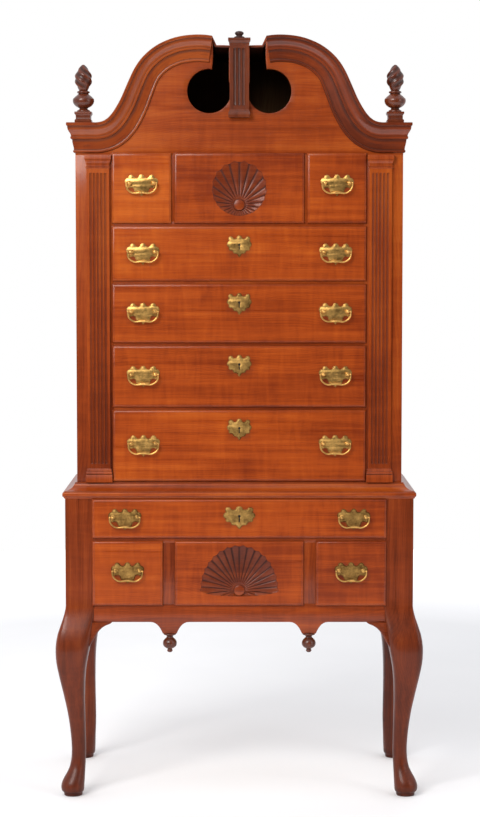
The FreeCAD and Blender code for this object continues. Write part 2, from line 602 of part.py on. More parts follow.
def bail_path():
    """Straight runs joined by tangent arcs, in the plane of the hanging bail."""
    corners = [Vector(-REACH, 0, 0), Vector(-REACH, 0, -16), Vector(-24, 0, -HANG), Vector(24, 0, -HANG), Vector(REACH, 0, -16), Vector(REACH, 0, 0)]
    edges = []
    start = corners[0]
    for a, b, c in zip(corners, corners[1:], corners[2:]):
        u = (a - b).normalize()
        v = (c - b).normalize()
        turn = math.pi - u.getAngle(v)
        reach = 9.0
        radius = reach / math.tan(turn / 2.0)
        p, q = b + u * reach, b + v * reach
        middle_dir = (u + v).normalize()
        centre = b + middle_dir * math.hypot(radius, reach)
        mid = centre - middle_dir * radius
        edges.append(Part.LineSegment(start, p).toShape())
        edges.append(Part.Arc(p, mid, q).toShape())
        start = q
    edges.append(Part.LineSegment(start, corners[-1]).toShape())
    return Part.Wire(edges)


bail_line = doc.addObject("Part::Feature", "bail_line")
bail_line.Shape = bail_path()
bail_ring = doc.addObject("Part::Circle", "bail_section")
bail_ring.setExpression("Radius", E("rod"))
bail_ring.Placement = Placement(Vector(-REACH, 0, 0), Rotation())
sweep = doc.addObject("Part::Sweep", "bail_rod")
sweep.Sections = [bail_ring]
sweep.Spine = bail_line
sweep.Solid = True
sweep.Frenet = False
doc.recompute()
pins = []
for tag, sgn in (("right", 1), ("left", -1)):
    knob = doc.addObject("Part::Sphere", "bail_end_" + tag)
    knob.Radius = 2.75
    knob.Placement = Placement(Vector(sgn * REACH, 0, 0), Rotation())
    pins.append(knob)
    pins.append(cylinder("bail_pin_" + tag, "pin_radius", "12", (str(sgn * REACH), "0", "0"), (-sgn, 0, 0)))
bail = fuse("bail_pattern", [sweep] + pins)
doc.recompute()
print("bail rod volume", sweep.Shape.Volume, "line x section", bail_line.Shape.Length * math.pi * D["rod"] ** 2)


# -------------------------------------------------------------------- drawers
def lip_rounded(name, base, radius):
    """Rounds the four front edges of a drawer lip."""
    doc.recompute()
    ymin = base.Shape.BoundBox.YMin
    picks = []
    for i, edge in enumerate(base.Shape.Edges, 1):
        if all(abs(v.Point.y - ymin) < 1e-6 for v in edge.Vertexes):
            picks.append((i, radius, radius))
    obj = doc.addObject("Part::Fillet", name)
    obj.Base = base
    obj.Edges = picks
    return obj


def drawer(name, x, z, case_front, case_y, length, pulls, fan=None, key=None, big_key=False):
    """One lipped drawer. x and z are the opening's limits as expressions, pulls
    the (x, z) of the plates, fan the (x, z, radius, depth) of a carved hollow."""
    x0, x1 = x
    z0, z1 = z
    f = case_front
    lip = box(name + "_lip", ("%s-lip_over" % x0, "%s+lip_over" % x1), ("%s-lip_front" % f, "%s-lip_gap" % f),
              ("(%s)-lip_over" % z0, "(%s)+lip_over" % z1))
    lip_round = lip_rounded(name + "_lip_edge", lip, 4.0)
    inner = box(name + "_front_board", ("%s+side_gap" % x0, "%s-side_gap" % x1), ("%s-lip_gap" % f, "%s+front_in" % f),
                ("(%s)+lift" % z0, "(%s)-3" % z1))
    front = fuse(name + "_front", [lip_round, inner])
    tools = []
    for k, (px, pz) in enumerate(pulls):
        for s in (1, -1):
            tools.append(cylinder("%s_bore_%d_%s" % (name, k, "r" if s > 0 else "l"), "shank+0.2", "40",
                                  ("%r+(%r)" % (px, s * D["post_half"]), "%s-15" % f, "%r+pivot_up" % pz), (0, 1, 0)))
    if key:
        tools.append(cylinder(name + "_key_bore", "4", "40", ("%r" % key[0], "%s-15" % f, "%r-2" % key[1]), (0, 1, 0)))
    if fan:
        fx, fz, r, deep = fan
        dish = doc.addObject("Part::Sphere", name + "_dish")
        big = (r * r + deep * deep) / (2.0 * deep)
        dish.Radius = big
        dish.Placement = Placement(Vector(fx, case_y - LIP - (big - deep), fz), Rotation())
        tools.append(dish)
    if tools:
        front = cut(name + "_front_cut", front, tools)
    top = "(%s)-9" % z1
    parts = [front,
             box(name + "_side_left", ("%s+side_gap" % x0, "%s+side_gap+drawer_side" % x0), ("%s+front_in" % f, "%s+%s" % (f, length)), ("(%s)+lift" % z0, top)),
             box(name + "_side_right", ("%s-side_gap-drawer_side" % x1, "%s-side_gap" % x1), ("%s+front_in" % f, "%s+%s" % (f, length)), ("(%s)+lift" % z0, top)),
             box(name + "_bottom", ("%s+side_gap+drawer_side" % x0, "%s-side_gap-drawer_side" % x1), ("%s+front_in" % f, "%s+%s" % (f, length)),
                 ("(%s)+lift+5" % z0, "(%s)+lift+5+drawer_base" % z0)),
             box(name + "_back", ("%s+side_gap+drawer_side" % x0, "%s-side_gap-drawer_side" % x1), ("%s+%s-drawer_side" % (f, length), "%s+%s" % (f, length)),
                 ("(%s)+lift+5+drawer_base" % z0, top))]
    node(name, parts)
    brass = []
    for k, (px, pz) in enumerate(pulls):
        tag = "" if len(pulls) == 1 else ("_left" if px < 0 else "_right")
        brass.append(instance("%s_plate%s" % (name, tag), pull_plate, Placement(Vector(px, case_y, pz), Rotation())))
        for s in (1, -1):
            where = Placement(Vector(px + s * D["post_half"], case_y, pz + D["pivot_up"]), Rotation())
            brass.append(instance("%s_post%s_%d" % (name, tag, s > 0), bail_post, where))
            brass.append(instance("%s_nut%s_%d" % (name, tag, s > 0), post_nut, where))
        node("%s_bail%s" % (name, tag), instance("%s_loop%s" % (name, tag), bail,
             Placement(Vector(px, case_y - D["post_reach"], pz + D["pivot_up"]), Rotation())))
    if key:
        kx, kz = key
        brass.append(instance(name + "_key_plate", key_plate_large if big_key else key_plate, Placement(Vector(kx, case_y, kz), Rotation())))
        brass.append(box(name + "_lock", ("%r-27" % kx, "%r+27" % kx), ("%s+front_in" % f, "%s+front_in+9" % f), ("%r-20" % kz, "%r+18" % kz)))
    if brass:
        node(name + "_brasses", brass)


doc.recompute()
top_z = ("rail_a_mid+rail/2", "pediment_low")
row_two = ("rail_b_mid+rail/2", "rail_a_mid-rail/2")
row_three = ("rail_c_mid+rail/2", "rail_b_mid-rail/2")
row_four = ("rail_d_mid+rail/2", "rail_c_mid-rail/2")
row_five = ("base_rail_top", "rail_d_mid-rail/2")
wide = ("-open_half", "open_half")
drawer("upper_drawer_top_left", ("-open_half", "-tier_post_out"), top_z, "yu", YU, "upper_box", [(-275.25, 1741.0)])
drawer("upper_drawer_top_fan", ("-tier_post_in", "tier_post_in"), top_z, "yu", YU, "upper_box", [], fan=(0, 1732.0, 78.0, 11.0))
drawer("upper_drawer_top_right", ("tier_post_out", "open_half"), top_z, "yu", YU, "upper_box", [(275.25, 1741.0)])
drawer("upper_drawer_second", wide, row_two, "yu", YU, "upper_box", [(-272.0, 1548.0), (272.0, 1548.0)], key=(0.0, 1569.0))
drawer("upper_drawer_third", wide, row_three, "yu", YU, "upper_box", [(-272.0, 1380.0), (272.0, 1380.0)], key=(0.0, 1407.0))
drawer("upper_drawer_fourth", wide, row_four, "yu", YU, "upper_box", [(-272.0, 1202.0), (272.0, 1202.0)], key=(0.0, 1232.0))
drawer("upper_drawer_bottom", wide, row_five, "yu", YU, "upper_box", [(-272.0, 1005.0), (272.0, 1005.0)], key=(0.0, 1051.0))
lower_wide = ("-lower_half+post", "lower_half-post")
low_z = ("apron_top", "mid_rail_low")
drawer("lower_drawer_long", lower_wide, ("mid_rail_top", "top_rail_low"), "yf", YF, "lower_box", [(-324.0, 799.0), (324.0, 799.0)], key=(0.0, 803.0), big_key=True)
drawer("lower_drawer_left", ("-lower_half+post", "-lower_post_out"), low_z, "yf", YF, "lower_box", [(-317.0, 646.0)])
drawer("lower_drawer_fan", ("-lower_post_in", "lower_post_in"), low_z, "yf", YF, "lower_box", [], fan=(0, 646.0, 82.0, 11.0))
drawer("lower_drawer_right", ("lower_post_out", "lower_half-post"), low_z, "yf", YF, "lower_box", [(317.0, 646.0)])

# ----------------------------------------------------------------- test, write
doc.recompute()
bad = [o.Name for o in doc.Objects if "Invalid" in o.State or "Error" in o.State]
if bad:
    raise RuntimeError("objects failed: %s" % bad)
for name, obj in nodes.items():
    shape = obj.Shape
    if shape.isNull() or not shape.isValid() or not shape.Solids:
        raise RuntimeError("bad shape: " + name)
if len(nodes) > 60:
    raise RuntimeError("too many nodes")

os.makedirs("parts", exist_ok=True)
whole = None
for name, obj in nodes.items():
    obj.Shape.exportStep("parts/%s.step" % name)
    b = obj.Shape.BoundBox
    whole = b if whole is None else whole.united(b)
print(len(nodes), "nodes; box X %.2f..%.2f Y %.2f..%.2f Z %.2f..%.2f" % (whole.XMin, whole.XMax, whole.YMin, whole.YMax, whole.ZMin, whole.ZMax))
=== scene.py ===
import math

import bmesh
import bpy
import numpy as np
from mathutils import Matrix, Vector


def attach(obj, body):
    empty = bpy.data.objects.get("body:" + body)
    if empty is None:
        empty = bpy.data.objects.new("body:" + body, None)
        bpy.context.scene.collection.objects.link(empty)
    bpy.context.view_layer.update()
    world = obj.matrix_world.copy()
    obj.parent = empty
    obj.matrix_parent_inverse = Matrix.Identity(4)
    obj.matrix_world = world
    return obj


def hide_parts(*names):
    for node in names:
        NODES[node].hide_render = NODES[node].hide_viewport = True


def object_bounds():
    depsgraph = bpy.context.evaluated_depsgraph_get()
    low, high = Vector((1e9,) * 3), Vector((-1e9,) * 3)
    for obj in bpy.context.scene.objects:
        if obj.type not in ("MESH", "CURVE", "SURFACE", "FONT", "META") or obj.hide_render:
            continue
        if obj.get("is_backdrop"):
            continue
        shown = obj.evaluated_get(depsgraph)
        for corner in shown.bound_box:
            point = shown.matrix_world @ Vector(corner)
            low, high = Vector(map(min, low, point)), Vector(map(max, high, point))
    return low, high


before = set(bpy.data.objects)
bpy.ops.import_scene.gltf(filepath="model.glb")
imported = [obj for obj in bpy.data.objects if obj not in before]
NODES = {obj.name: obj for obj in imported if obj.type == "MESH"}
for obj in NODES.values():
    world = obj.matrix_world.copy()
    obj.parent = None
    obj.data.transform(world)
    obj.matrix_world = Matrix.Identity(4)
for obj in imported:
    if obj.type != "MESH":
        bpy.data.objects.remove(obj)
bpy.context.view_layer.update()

# ------------------------------------------------------------ shared measures
MM = 0.001
YF = -0.2500             # lower case front
YB = YF + 0.500          # lower case back
YU = YF + 0.0325         # upper case front
YUB = YB - 0.010         # upper case back
LH = 0.494               # lower half width
UH = 0.4615              # upper half width
YMID = YF + 0.250
RNG = np.random.RandomState(7)


# ------------------------------------------------------------------ materials
def new_mat(name):
    m = bpy.data.materials.new(name)
    m.use_nodes = True
    nt = m.node_tree
    for n in list(nt.nodes):
        nt.nodes.remove(n)
    out = nt.nodes.new("ShaderNodeOutputMaterial")
    b = nt.nodes.new("ShaderNodeBsdfPrincipled")
    nt.links.new(b.outputs[0], out.inputs[0])
    return m, nt, b


def N(nt, kind, **kw):
    n = nt.nodes.new(kind)
    for k, v in kw.items():
        if k.startswith("i_"):
            key = k[2:]
            n.inputs[int(key) if key.isdigit() else key].default_value = v
        else:
            setattr(n, k, v)
    return n


def L(nt, a, b):
    nt.links.new(a, b)


def math_node(nt, op, a, b=None, c=None, clamp=False):
    n = nt.nodes.new("ShaderNodeMath")
    n.operation = op
    n.use_clamp = clamp
    for i, v in enumerate((a, b, c)):
        if v is None:
            continue
        if isinstance(v, (int, float)):
            n.inputs[i].default_value = v
        else:
            nt.links.new(v, n.inputs[i])
    return n.outputs[0]


def ramp(nt, fac, stops, interp="LINEAR"):
    r = nt.nodes.new("ShaderNodeValToRGB")
    r.color_ramp.interpolation = interp
    el = r.color_ramp.elements
    while len(el) > 1:
        el.remove(el[-1])
    el[0].position = stops[0][0]
    el[0].color = tuple(stops[0][1]) + (1,)
    for p, c in stops[1:]:
        e = el.new(p)
        e.color = tuple(c) + (1,)
    nt.links.new(fac, r.inputs[0])
    return r.outputs[0]


def mix_rgb(nt, mode, fac, a, b):
    m = nt.nodes.new("ShaderNodeMix")
    m.data_type = "RGBA"
    m.blend_type = mode
    if isinstance(fac, (int, float)):
        m.inputs[0].default_value = fac
    else:
        nt.links.new(fac, m.inputs[0])
    for i, v in ((6, a), (7, b)):
        if isinstance(v, (tuple, list)):
            m.inputs[i].default_value = tuple(v) + (1,)
        else:
            nt.links.new(v, m.inputs[i])
    return m.outputs[2]


def noise(nt, vec, scale, detail=3.0, rough=0.5, distortion=0.0):
    n = nt.nodes.new("ShaderNodeTexNoise")
    n.inputs["Scale"].default_value = scale
    n.inputs["Detail"].default_value = detail
    n.inputs["Roughness"].default_value = rough
    n.inputs["Distortion"].default_value = distortion
    nt.links.new(vec, n.inputs["Vector"])
    return n.outputs["Fac"]


def stretch(nt, vec, sx, sy, sz, off=(0, 0, 0)):
    m = nt.nodes.new("ShaderNodeMapping")
    m.inputs["Scale"].default_value = (sx, sy, sz)
    m.inputs["Location"].default_value = off
    nt.links.new(vec, m.inputs["Vector"])
    return m.outputs[0]


def wood(name, dark, mid, light, rough=0.30, coat=0.35, coat_rough=0.12, figure=0.5, ring=0.0042, lines=0.5, pore=0.3, bump=0.25, dirt_and_shade=0.5, spec=0.35):
    """Polished wood whose grain follows each board. The mesh attribute grain holds
    metres along the board, across it and through it; shade above zero darkens the wood,
    as painted shade in recesses, under parts and low down and as real old polish round
    the brasses, and below zero lightens rubbed edges; tone sets boards apart and also
    carries painted light and shade."""
    m, nt, b = new_mat(name)
    vec = N(nt, "ShaderNodeAttribute", attribute_name="grain").outputs["Vector"]
    shade = N(nt, "ShaderNodeAttribute", attribute_name="shade").outputs["Fac"]
    tone = N(nt, "ShaderNodeAttribute", attribute_name="tone").outputs["Fac"]
    sep = N(nt, "ShaderNodeSeparateXYZ")
    L(nt, vec, sep.inputs[0])
    # growth rings of a flat-sawn board: long arches, close together at its edges
    warp = noise(nt, stretch(nt, vec, 1.25, 4.5, 4.5), 1.0, 2.0, 0.5)
    wob = noise(nt, stretch(nt, vec, 5.0, 17.0, 17.0, (3.1, 1.7, 0.4)), 1.0, 3.0, 0.55)
    across = math_node(nt, "ADD", sep.outputs[1], math_node(nt, "MULTIPLY", math_node(nt, "SUBTRACT", warp, 0.5), 0.13))
    across = math_node(nt, "ADD", across, math_node(nt, "MULTIPLY", math_node(nt, "SUBTRACT", wob, 0.5), 0.016))
    depth = math_node(nt, "ADD", sep.outputs[2], math_node(nt, "ADD", math_node(nt, "MULTIPLY", sep.outputs[0], 0.024), -0.055))
    radius = math_node(nt, "SQRT", math_node(nt, "ADD", math_node(nt, "MULTIPLY", across, across), math_node(nt, "MULTIPLY", depth, depth)))
    rings = math_node(nt, "FRACT", math_node(nt, "DIVIDE", radius, ring))
    line = ramp(nt, rings, [(0.0, (0, 0, 0)), (0.45, (0.12, 0.12, 0.12)), (0.86, (1, 1, 1)), (1.0, (0, 0, 0))])
    # fine fibres and short pores
    fib = noise(nt, stretch(nt, vec, 9.0, 520.0, 520.0), 1.0, 3.0, 0.65)
    streak = noise(nt, stretch(nt, vec, 1.6, 62.0, 62.0, (0, 4.0, 2.0)), 1.0, 5.0, 0.62)
    por = noise(nt, stretch(nt, vec, 30.0, 1300.0, 1300.0, (2.0, 0, 5.0)), 1.0, 2.0, 0.5)
    pores = math_node(nt, "MULTIPLY", math_node(nt, "GREATER_THAN", por, 0.64), pore)
    # cross figure that shimmers under the polish, in patches
    fig = noise(nt, stretch(nt, vec, 48.0, 7.0, 14.0, (1.0, 2.0, 3.0)), 1.0, 3.0, 0.55, 0.8)
    patch = noise(nt, stretch(nt, vec, 3.0, 7.0, 7.0, (9.0, 2.0, 6.0)), 1.0, 2.0, 0.5)
    fig = math_node(nt, "MULTIPLY", math_node(nt, "SUBTRACT", fig, 0.5), math_node(nt, "MULTIPLY", patch, figure * 1.5))
    blotch = noise(nt, stretch(nt, vec, 3.6, 8.0, 8.0, (7.0, 3.0, 1.0)), 1.0, 4.0, 0.6)
    v = math_node(nt, "MULTIPLY", math_node(nt, "SUBTRACT", streak, 0.5), 0.95)
    v = math_node(nt, "ADD", v, math_node(nt, "MULTIPLY", math_node(nt, "SUBTRACT", fib, 0.5), 0.30))
    v = math_node(nt, "ADD", v, math_node(nt, "MULTIPLY", math_node(nt, "SUBTRACT", blotch, 0.5), 0.75))
    v = math_node(nt, "ADD", v, fig)
    v = math_node(nt, "SUBTRACT", v, math_node(nt, "MULTIPLY", line, lines * 0.26))
    v = math_node(nt, "ADD", v, math_node(nt, "ADD", math_node(nt, "MULTIPLY", tone, 0.085), 0.5 + lines * 0.09))
    col = ramp(nt, v, [(0.14, dark), (0.50, mid), (0.86, light)])
    col = mix_rgb(nt, "MIX", pores, col, tuple(c * 0.5 for c in dark))
    # pale rubbed edges; dark in corners, recesses, under parts and low down: painted shade, with real old polish round
    # the brasses
    cloud = noise(nt, stretch(nt, vec, 16.0, 34.0, 34.0, (5.0, 5.0, 5.0)), 1.0, 3.0, 0.6)
    worn = math_node(nt, "MULTIPLY", math_node(nt, "MULTIPLY", shade, -1.0), math_node(nt, "ADD", math_node(nt, "MULTIPLY", cloud, 1.8), -0.1), clamp=True)
    col = mix_rgb(nt, "MIX", worn, col, tuple(min(1.0, c * 1.25 + 0.01) for c in light))
    # painted shade and dirt: how far shade darkens the wood, scaled by dirt_and_shade
    g = math_node(nt, "MULTIPLY", shade, math_node(nt, "ADD", math_node(nt, "MULTIPLY", cloud, 0.8), 0.6), clamp=True)
    g = math_node(nt, "MULTIPLY", g, dirt_and_shade * 2.0, clamp=True)
    col = mix_rgb(nt, "MIX", g, col, tuple(c * 0.22 for c in dark))
    L(nt, col, b.inputs["Base Color"])
    r = math_node(nt, "ADD", math_node(nt, "MULTIPLY", streak, 0.16), rough - 0.08)
    r = math_node(nt, "ADD", r, math_node(nt, "MULTIPLY", g, 0.20))
    L(nt, r, b.inputs["Roughness"])
    if coat > 0:
        L(nt, math_node(nt, "MULTIPLY", math_node(nt, "SUBTRACT", 1.0, math_node(nt, "MULTIPLY", g, 0.85)), coat), b.inputs["Coat Weight"])
    b.inputs["Coat Roughness"].default_value = coat_rough
    b.inputs["Specular IOR Level"].default_value = spec
    bm = N(nt, "ShaderNodeBump")
    bm.inputs["Strength"].default_value = bump
    bm.inputs["Distance"].default_value = 0.0006
    h = math_node(nt, "SUBTRACT", math_node(nt, "MULTIPLY", fib, 0.6), pores)
    h = math_node(nt, "ADD", h, math_node(nt, "MULTIPLY", blotch, 0.9))
    h = math_node(nt, "SUBTRACT", h, math_node(nt, "MULTIPLY", line, 0.12))
    L(nt, h, bm.inputs["Height"])
    L(nt, bm.outputs[0], b.inputs["Normal"])
    return m


def brass(name, base, dark, rough=0.30):
    """Old cast brass: bright where hands rub it, brown in its corners."""
    m, nt, b = new_mat(name)
    vec = N(nt, "ShaderNodeTexCoord").outputs["Object"]
    shade = N(nt, "ShaderNodeAttribute", attribute_name="shade").outputs["Fac"]
    a = noise(nt, vec, 46.0, 4.0, 0.6)
    c = noise(nt, stretch(nt, vec, 1, 1, 1, (4, 2, 1)), 230.0, 4.0, 0.65)
    scr = noise(nt, stretch(nt, vec, 130.0, 900.0, 1500.0), 1.0, 2.0, 0.5)
    v = math_node(nt, "ADD", math_node(nt, "MULTIPLY", a, 0.66), math_node(nt, "MULTIPLY", c, 0.34))
    # shade darkens the brass: patina in its hollows, and painted shade from brass_row_shade
    v = math_node(nt, "SUBTRACT", v, math_node(nt, "MULTIPLY", shade, 0.50))
    col = ramp(nt, v, [(0.06, dark), (0.30, tuple(x * 0.45 for x in base)), (0.47, tuple(x * 0.82 for x in base)), (0.64, base)])
    L(nt, col, b.inputs["Base Color"])
    b.inputs["Metallic"].default_value = 1.0
    r = math_node(nt, "ADD", math_node(nt, "MULTIPLY", c, 0.24), rough - 0.12)
    r = math_node(nt, "ADD", r, math_node(nt, "MULTIPLY", shade, 0.30))
    L(nt, r, b.inputs["Roughness"])
    bm = N(nt, "ShaderNodeBump")
    bm.inputs["Strength"].default_value = 0.30
    bm.inputs["Distance"].default_value = 0.0004
    L(nt, math_node(nt, "ADD", math_node(nt, "MULTIPLY", scr, 0.35), a), bm.inputs["Height"])
    L(nt, bm.outputs[0], b.inputs["Normal"])
    return m


FRONT = wood("cherry_front", (0.175, 0.0215, 0.0022), (0.335, 0.0520, 0.0042), (0.480, 0.098, 0.0085), figure=0.55, lines=0.45, coat=0.24, coat_rough=0.15, spec=0.26)
CASE = wood("cherry_case", (0.135, 0.0175, 0.0020), (0.265, 0.0400, 0.0040), (0.385, 0.076, 0.0080), figure=0.40, lines=0.5, coat=0.22, coat_rough=0.16, spec=0.24)
MOULD = wood("cherry_mouldings", (0.095, 0.0135, 0.0020), (0.200, 0.0300, 0.0040), (0.300, 0.058, 0.0080), figure=0.30, lines=0.4)
LEGS = wood("cherry_legs", (0.095, 0.0135, 0.0020), (0.200, 0.0300, 0.0040), (0.300, 0.058, 0.0080), figure=0.30, lines=0.4, coat=0.20, coat_rough=0.17, spec=0.22)
DARK = wood("cherry_dark", (0.055, 0.0100, 0.0022), (0.125, 0.0215, 0.0042), (0.205, 0.042, 0.0080), figure=0.30, lines=0.4)
PINE = wood("pine_inside", (0.235, 0.098, 0.028), (0.415, 0.205, 0.070), (0.560, 0.335, 0.140), rough=0.62, coat=0.0, figure=0.10, ring=0.0065, lines=1.0, pore=0.1, bump=0.5, dirt_and_shade=0.4, spec=0.3)
BRASS = brass("old_brass", (0.90, 0.520, 0.152), (0.10, 0.045, 0.012), 0.32)
IRON, _nt, _b = new_mat("lock_iron")
_tc = N(_nt, "ShaderNodeTexCoord")
_n = noise(_nt, _tc.outputs["Object"], 160.0, 4.0, 0.6)
L(_nt, ramp(_nt, _n, [(0.3, (0.03, 0.024, 0.02)), (0.7, (0.13, 0.10, 0.08))]), _b.inputs["Base Color"])
_b.inputs["Metallic"].default_value = 0.8
_b.inputs["Roughness"].default_value = 0.55


# --------------------------------------------------------------- mesh helpers
class Build:
    """Collects separate boards and turned parts into one mesh with its grain."""

    def __init__(self):
        self.v, self.f, self.g, self.s, self.t, self.m, self.sm = [], [], [], [], [], [], []

    def add(self, verts, faces, grain="x", shade=0.0, mat=0, smooth=True, grain_pts=None, seed=None, tone=0.0):
        base = len(self.v)
        verts = np.asarray(verts, float).reshape(-1, 3)
        low = 1.3 if verts[:, 2].mean() < 0.872 else 0.0        # the lower case painted darker: painted shade for the dimmer light low down
        k = RNG.rand(3) if seed is None else np.array(seed, float)
        if grain_pts is None:
            order = {"x": (0, 2, 1), "y": (1, 0, 2), "z": (2, 0, 1)}[grain]
            c = verts.mean(0)
            g = (verts - c)[:, order]
        else:
            g = np.asarray(grain_pts, float).reshape(-1, 3)
        g = g + np.array([k[0] * 7.0, (k[1] - 0.5) * 0.12, k[2] * 0.05])
        self.v.extend(verts.tolist())
        self.g.extend(g.tolist())
        sh = np.broadcast_to(np.asarray(shade, float), (len(verts),))
        self.s.extend(sh.tolist())
        tn = np.broadcast_to(np.asarray(tone, float), (len(verts),))
        self.t.extend((tn + float(k[2] * 2.0 - 1.0) - low).tolist())
        for face in faces:
            self.f.append([base + i for i in face])
            self.m.append(mat)
            self.sm.append(smooth)
        return self

    def make(self, name, mats, body="case", slot=None, replaces=(), angle=38.0):
        me = bpy.data.meshes.new(name)
        me.from_pydata(self.v, [], self.f)
        me.validate()
        for mt in mats:
            me.materials.append(mt)
        me.polygons.foreach_set("material_index", self.m[:len(me.polygons)])
        at = me.attributes.new("grain", "FLOAT_VECTOR", "POINT")
        at.data.foreach_set("vector", np.array(self.g, np.float32).ravel())
        at = me.attributes.new("shade", "FLOAT", "POINT")
        at.data.foreach_set("value", np.array(self.s, np.float32))
        at = me.attributes.new("tone", "FLOAT", "POINT")
        at.data.foreach_set("value", np.array(self.t, np.float32))
        me.polygons.foreach_set("use_smooth", [True] * len(me.polygons))
        bm = bmesh.new()
        bm.from_mesh(me)
        bmesh.ops.dissolve_degenerate(bm, dist=7e-6, edges=[e for e in bm.edges if e.calc_length() < 7e-6])
        lim = math.radians(angle)
        for e in bm.edges:
            if len(e.link_faces) == 2 and e.calc_face_angle(0.0) > lim:
                e.smooth = False
        bm.to_mesh(me)
        bm.free()
        ob = bpy.data.objects.new(name, me)
        bpy.context.scene.collection.objects.link(ob)
        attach(ob, body)
        if replaces:
            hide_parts(*replaces)
        return ob


def soft_box(x0, x1, y0, y1, z0, z1, r=0.0012, seg=2):
    """A board with rounded edges: vertices and faces."""
    r = min(r, (x1 - x0) * 0.45, (y1 - y0) * 0.45, (z1 - z0) * 0.45)
    bm = bmesh.new()
    bmesh.ops.create_cube(bm, size=1.0)
    for v in bm.verts:
        v.co = Vector(((x0 + x1) / 2 + v.co.x * (x1 - x0), (y0 + y1) / 2 + v.co.y * (y1 - y0), (z0 + z1) / 2 + v.co.z * (z1 - z0)))
    bmesh.ops.bevel(bm, geom=list(bm.edges), offset=r, segments=seg, profile=0.6, affect="EDGES", clamp_overlap=True)
    verts = [tuple(v.co) for v in bm.verts]
    faces = [[v.index for v in f.verts] for f in bm.faces]
    bm.verts.index_update()
    faces = [[v.index for v in f.verts] for f in bm.faces]
    bm.free()
    return verts, faces


def sliced(verts, faces, xs=(), zs=()):
    """The same piece cut along upright and level planes, so that its colour can
    change gradually between them."""
    bm = bmesh.new()
    made = [bm.verts.new(tuple(q)) for q in verts]
    for face in faces:
        bm.faces.new([made[i] for i in face])
    for axis, cuts in ((0, xs), (2, zs)):
        for c in cuts:
            co, no = [0.0, 0.0, 0.0], [0.0, 0.0, 0.0]
            co[axis], no[axis] = float(c), 1.0
            bmesh.ops.bisect_plane(bm, geom=list(bm.verts) + list(bm.edges) + list(bm.faces), dist=1e-6, plane_co=co, plane_no=no)
    bm.verts.index_update()
    out = np.array([tuple(q.co) for q in bm.verts])
    fo = [[q.index for q in face.verts] for face in bm.faces]
    bm.free()
    return out, fo


def rubbed(verts, much=0.8):
    """Shade for a soft_box: below zero along the middle of its rounded edges."""
    a = np.asarray(verts, float)
    on = (np.abs(a - a.min(0)) < 1e-6) | (np.abs(a - a.max(0)) < 1e-6)
    return np.where(on.any(1), 0.0, -much)


def grid_faces(nu, nv, wrap_u=False, wrap_v=False, flip=False):
    f = []
    for i in range(nu if wrap_u else nu - 1):
        for j in range(nv if wrap_v else nv - 1):
            a, b = i * nv + j, ((i + 1) % nu) * nv + j
            c, d = ((i + 1) % nu) * nv + (j + 1) % nv, i * nv + (j + 1) % nv
            f.append([a, d, c, b] if flip else [a, b, c, d])
    return f


def lathe(profile, centre=(0, 0), seg=40, axis="z", wobble=None):
    """Turned part from (radius, height) pairs, bottom to top, closed at both ends."""
    pts = [(max(r, 1e-5), z) for r, z in profile]
    verts, gp = [], []
    for r, z in pts:
        for k in range(seg):
            a = 2 * math.pi * k / seg
            rr = r * (wobble(a, z) if wobble else 1.0)
            verts.append((rr * math.cos(a), rr * math.sin(a), z))
            gp.append((z, rr * math.cos(a), rr * math.sin(a)))
    faces = grid_faces(len(pts), seg, wrap_v=True, flip=True)
    faces.append(list(range(seg))[::-1])
    faces.append([(len(pts) - 1) * seg + k for k in range(seg)])
    out = []
    for x, y, z in verts:
        if axis == "z":
            out.append((x + centre[0], y + centre[1], z))
        else:                       # turned about Y: height runs along +Y
            out.append((x + centre[0], z, -y + centre[1]))
    if axis != "z":
        pass
    return out, faces, gp


def smooth_curve(points, count):
    """Points spread evenly along a smooth curve through the given ones."""
    p = np.array(points, float)
    d = np.r_[0, np.cumsum(np.linalg.norm(np.diff(p, axis=0), axis=1))]
    # cubic Hermite with averaged slopes
    m = np.gradient(p, d, axis=0)
    t = np.linspace(0, d[-1], count)
    i = np.clip(np.searchsorted(d, t, side="right") - 1, 0, len(p) - 2)
    hh = (d[i + 1] - d[i])[:, None]
    u = ((t - d[i]) / (d[i + 1] - d[i]))[:, None]
    h00 = 2 * u ** 3 - 3 * u ** 2 + 1
    h10 = u ** 3 - 2 * u ** 2 + u
    h01 = -2 * u ** 3 + 3 * u ** 2
    h11 = u ** 3 - u ** 2
    return h00 * p[i] + h10 * hh * m[i] + h01 * p[i + 1] + h11 * hh * m[i + 1]


def tube(path, radii, seg=14, caps=True):
    """Round rod along a path with its own radius at every point."""
    p = np.array(path, float)
    t = np.gradient(p, axis=0)
    t /= np.linalg.norm(t, axis=1)[:, None]
    ref = np.array([0.0, 1.0, 0.0])
    verts = []
    for k in range(len(p)):
        n = np.cross(t[k], ref)
        if np.linalg.norm(n) < 1e-6:
            n = np.array([1.0, 0, 0])
        n /= np.linalg.norm(n)
        bnorm = np.cross(t[k], n)
        for j in range(seg):
            a = 2 * math.pi * j / seg
            verts.append(p[k] + radii[k] * (math.cos(a) * n + math.sin(a) * bnorm))
    faces = grid_faces(len(p), seg, wrap_v=True, flip=True)
    if caps:
        faces.append(list(range(seg)))
        faces.append([(len(p) - 1) * seg + k for k in range(seg)][::-1])
    return np.array(verts), faces


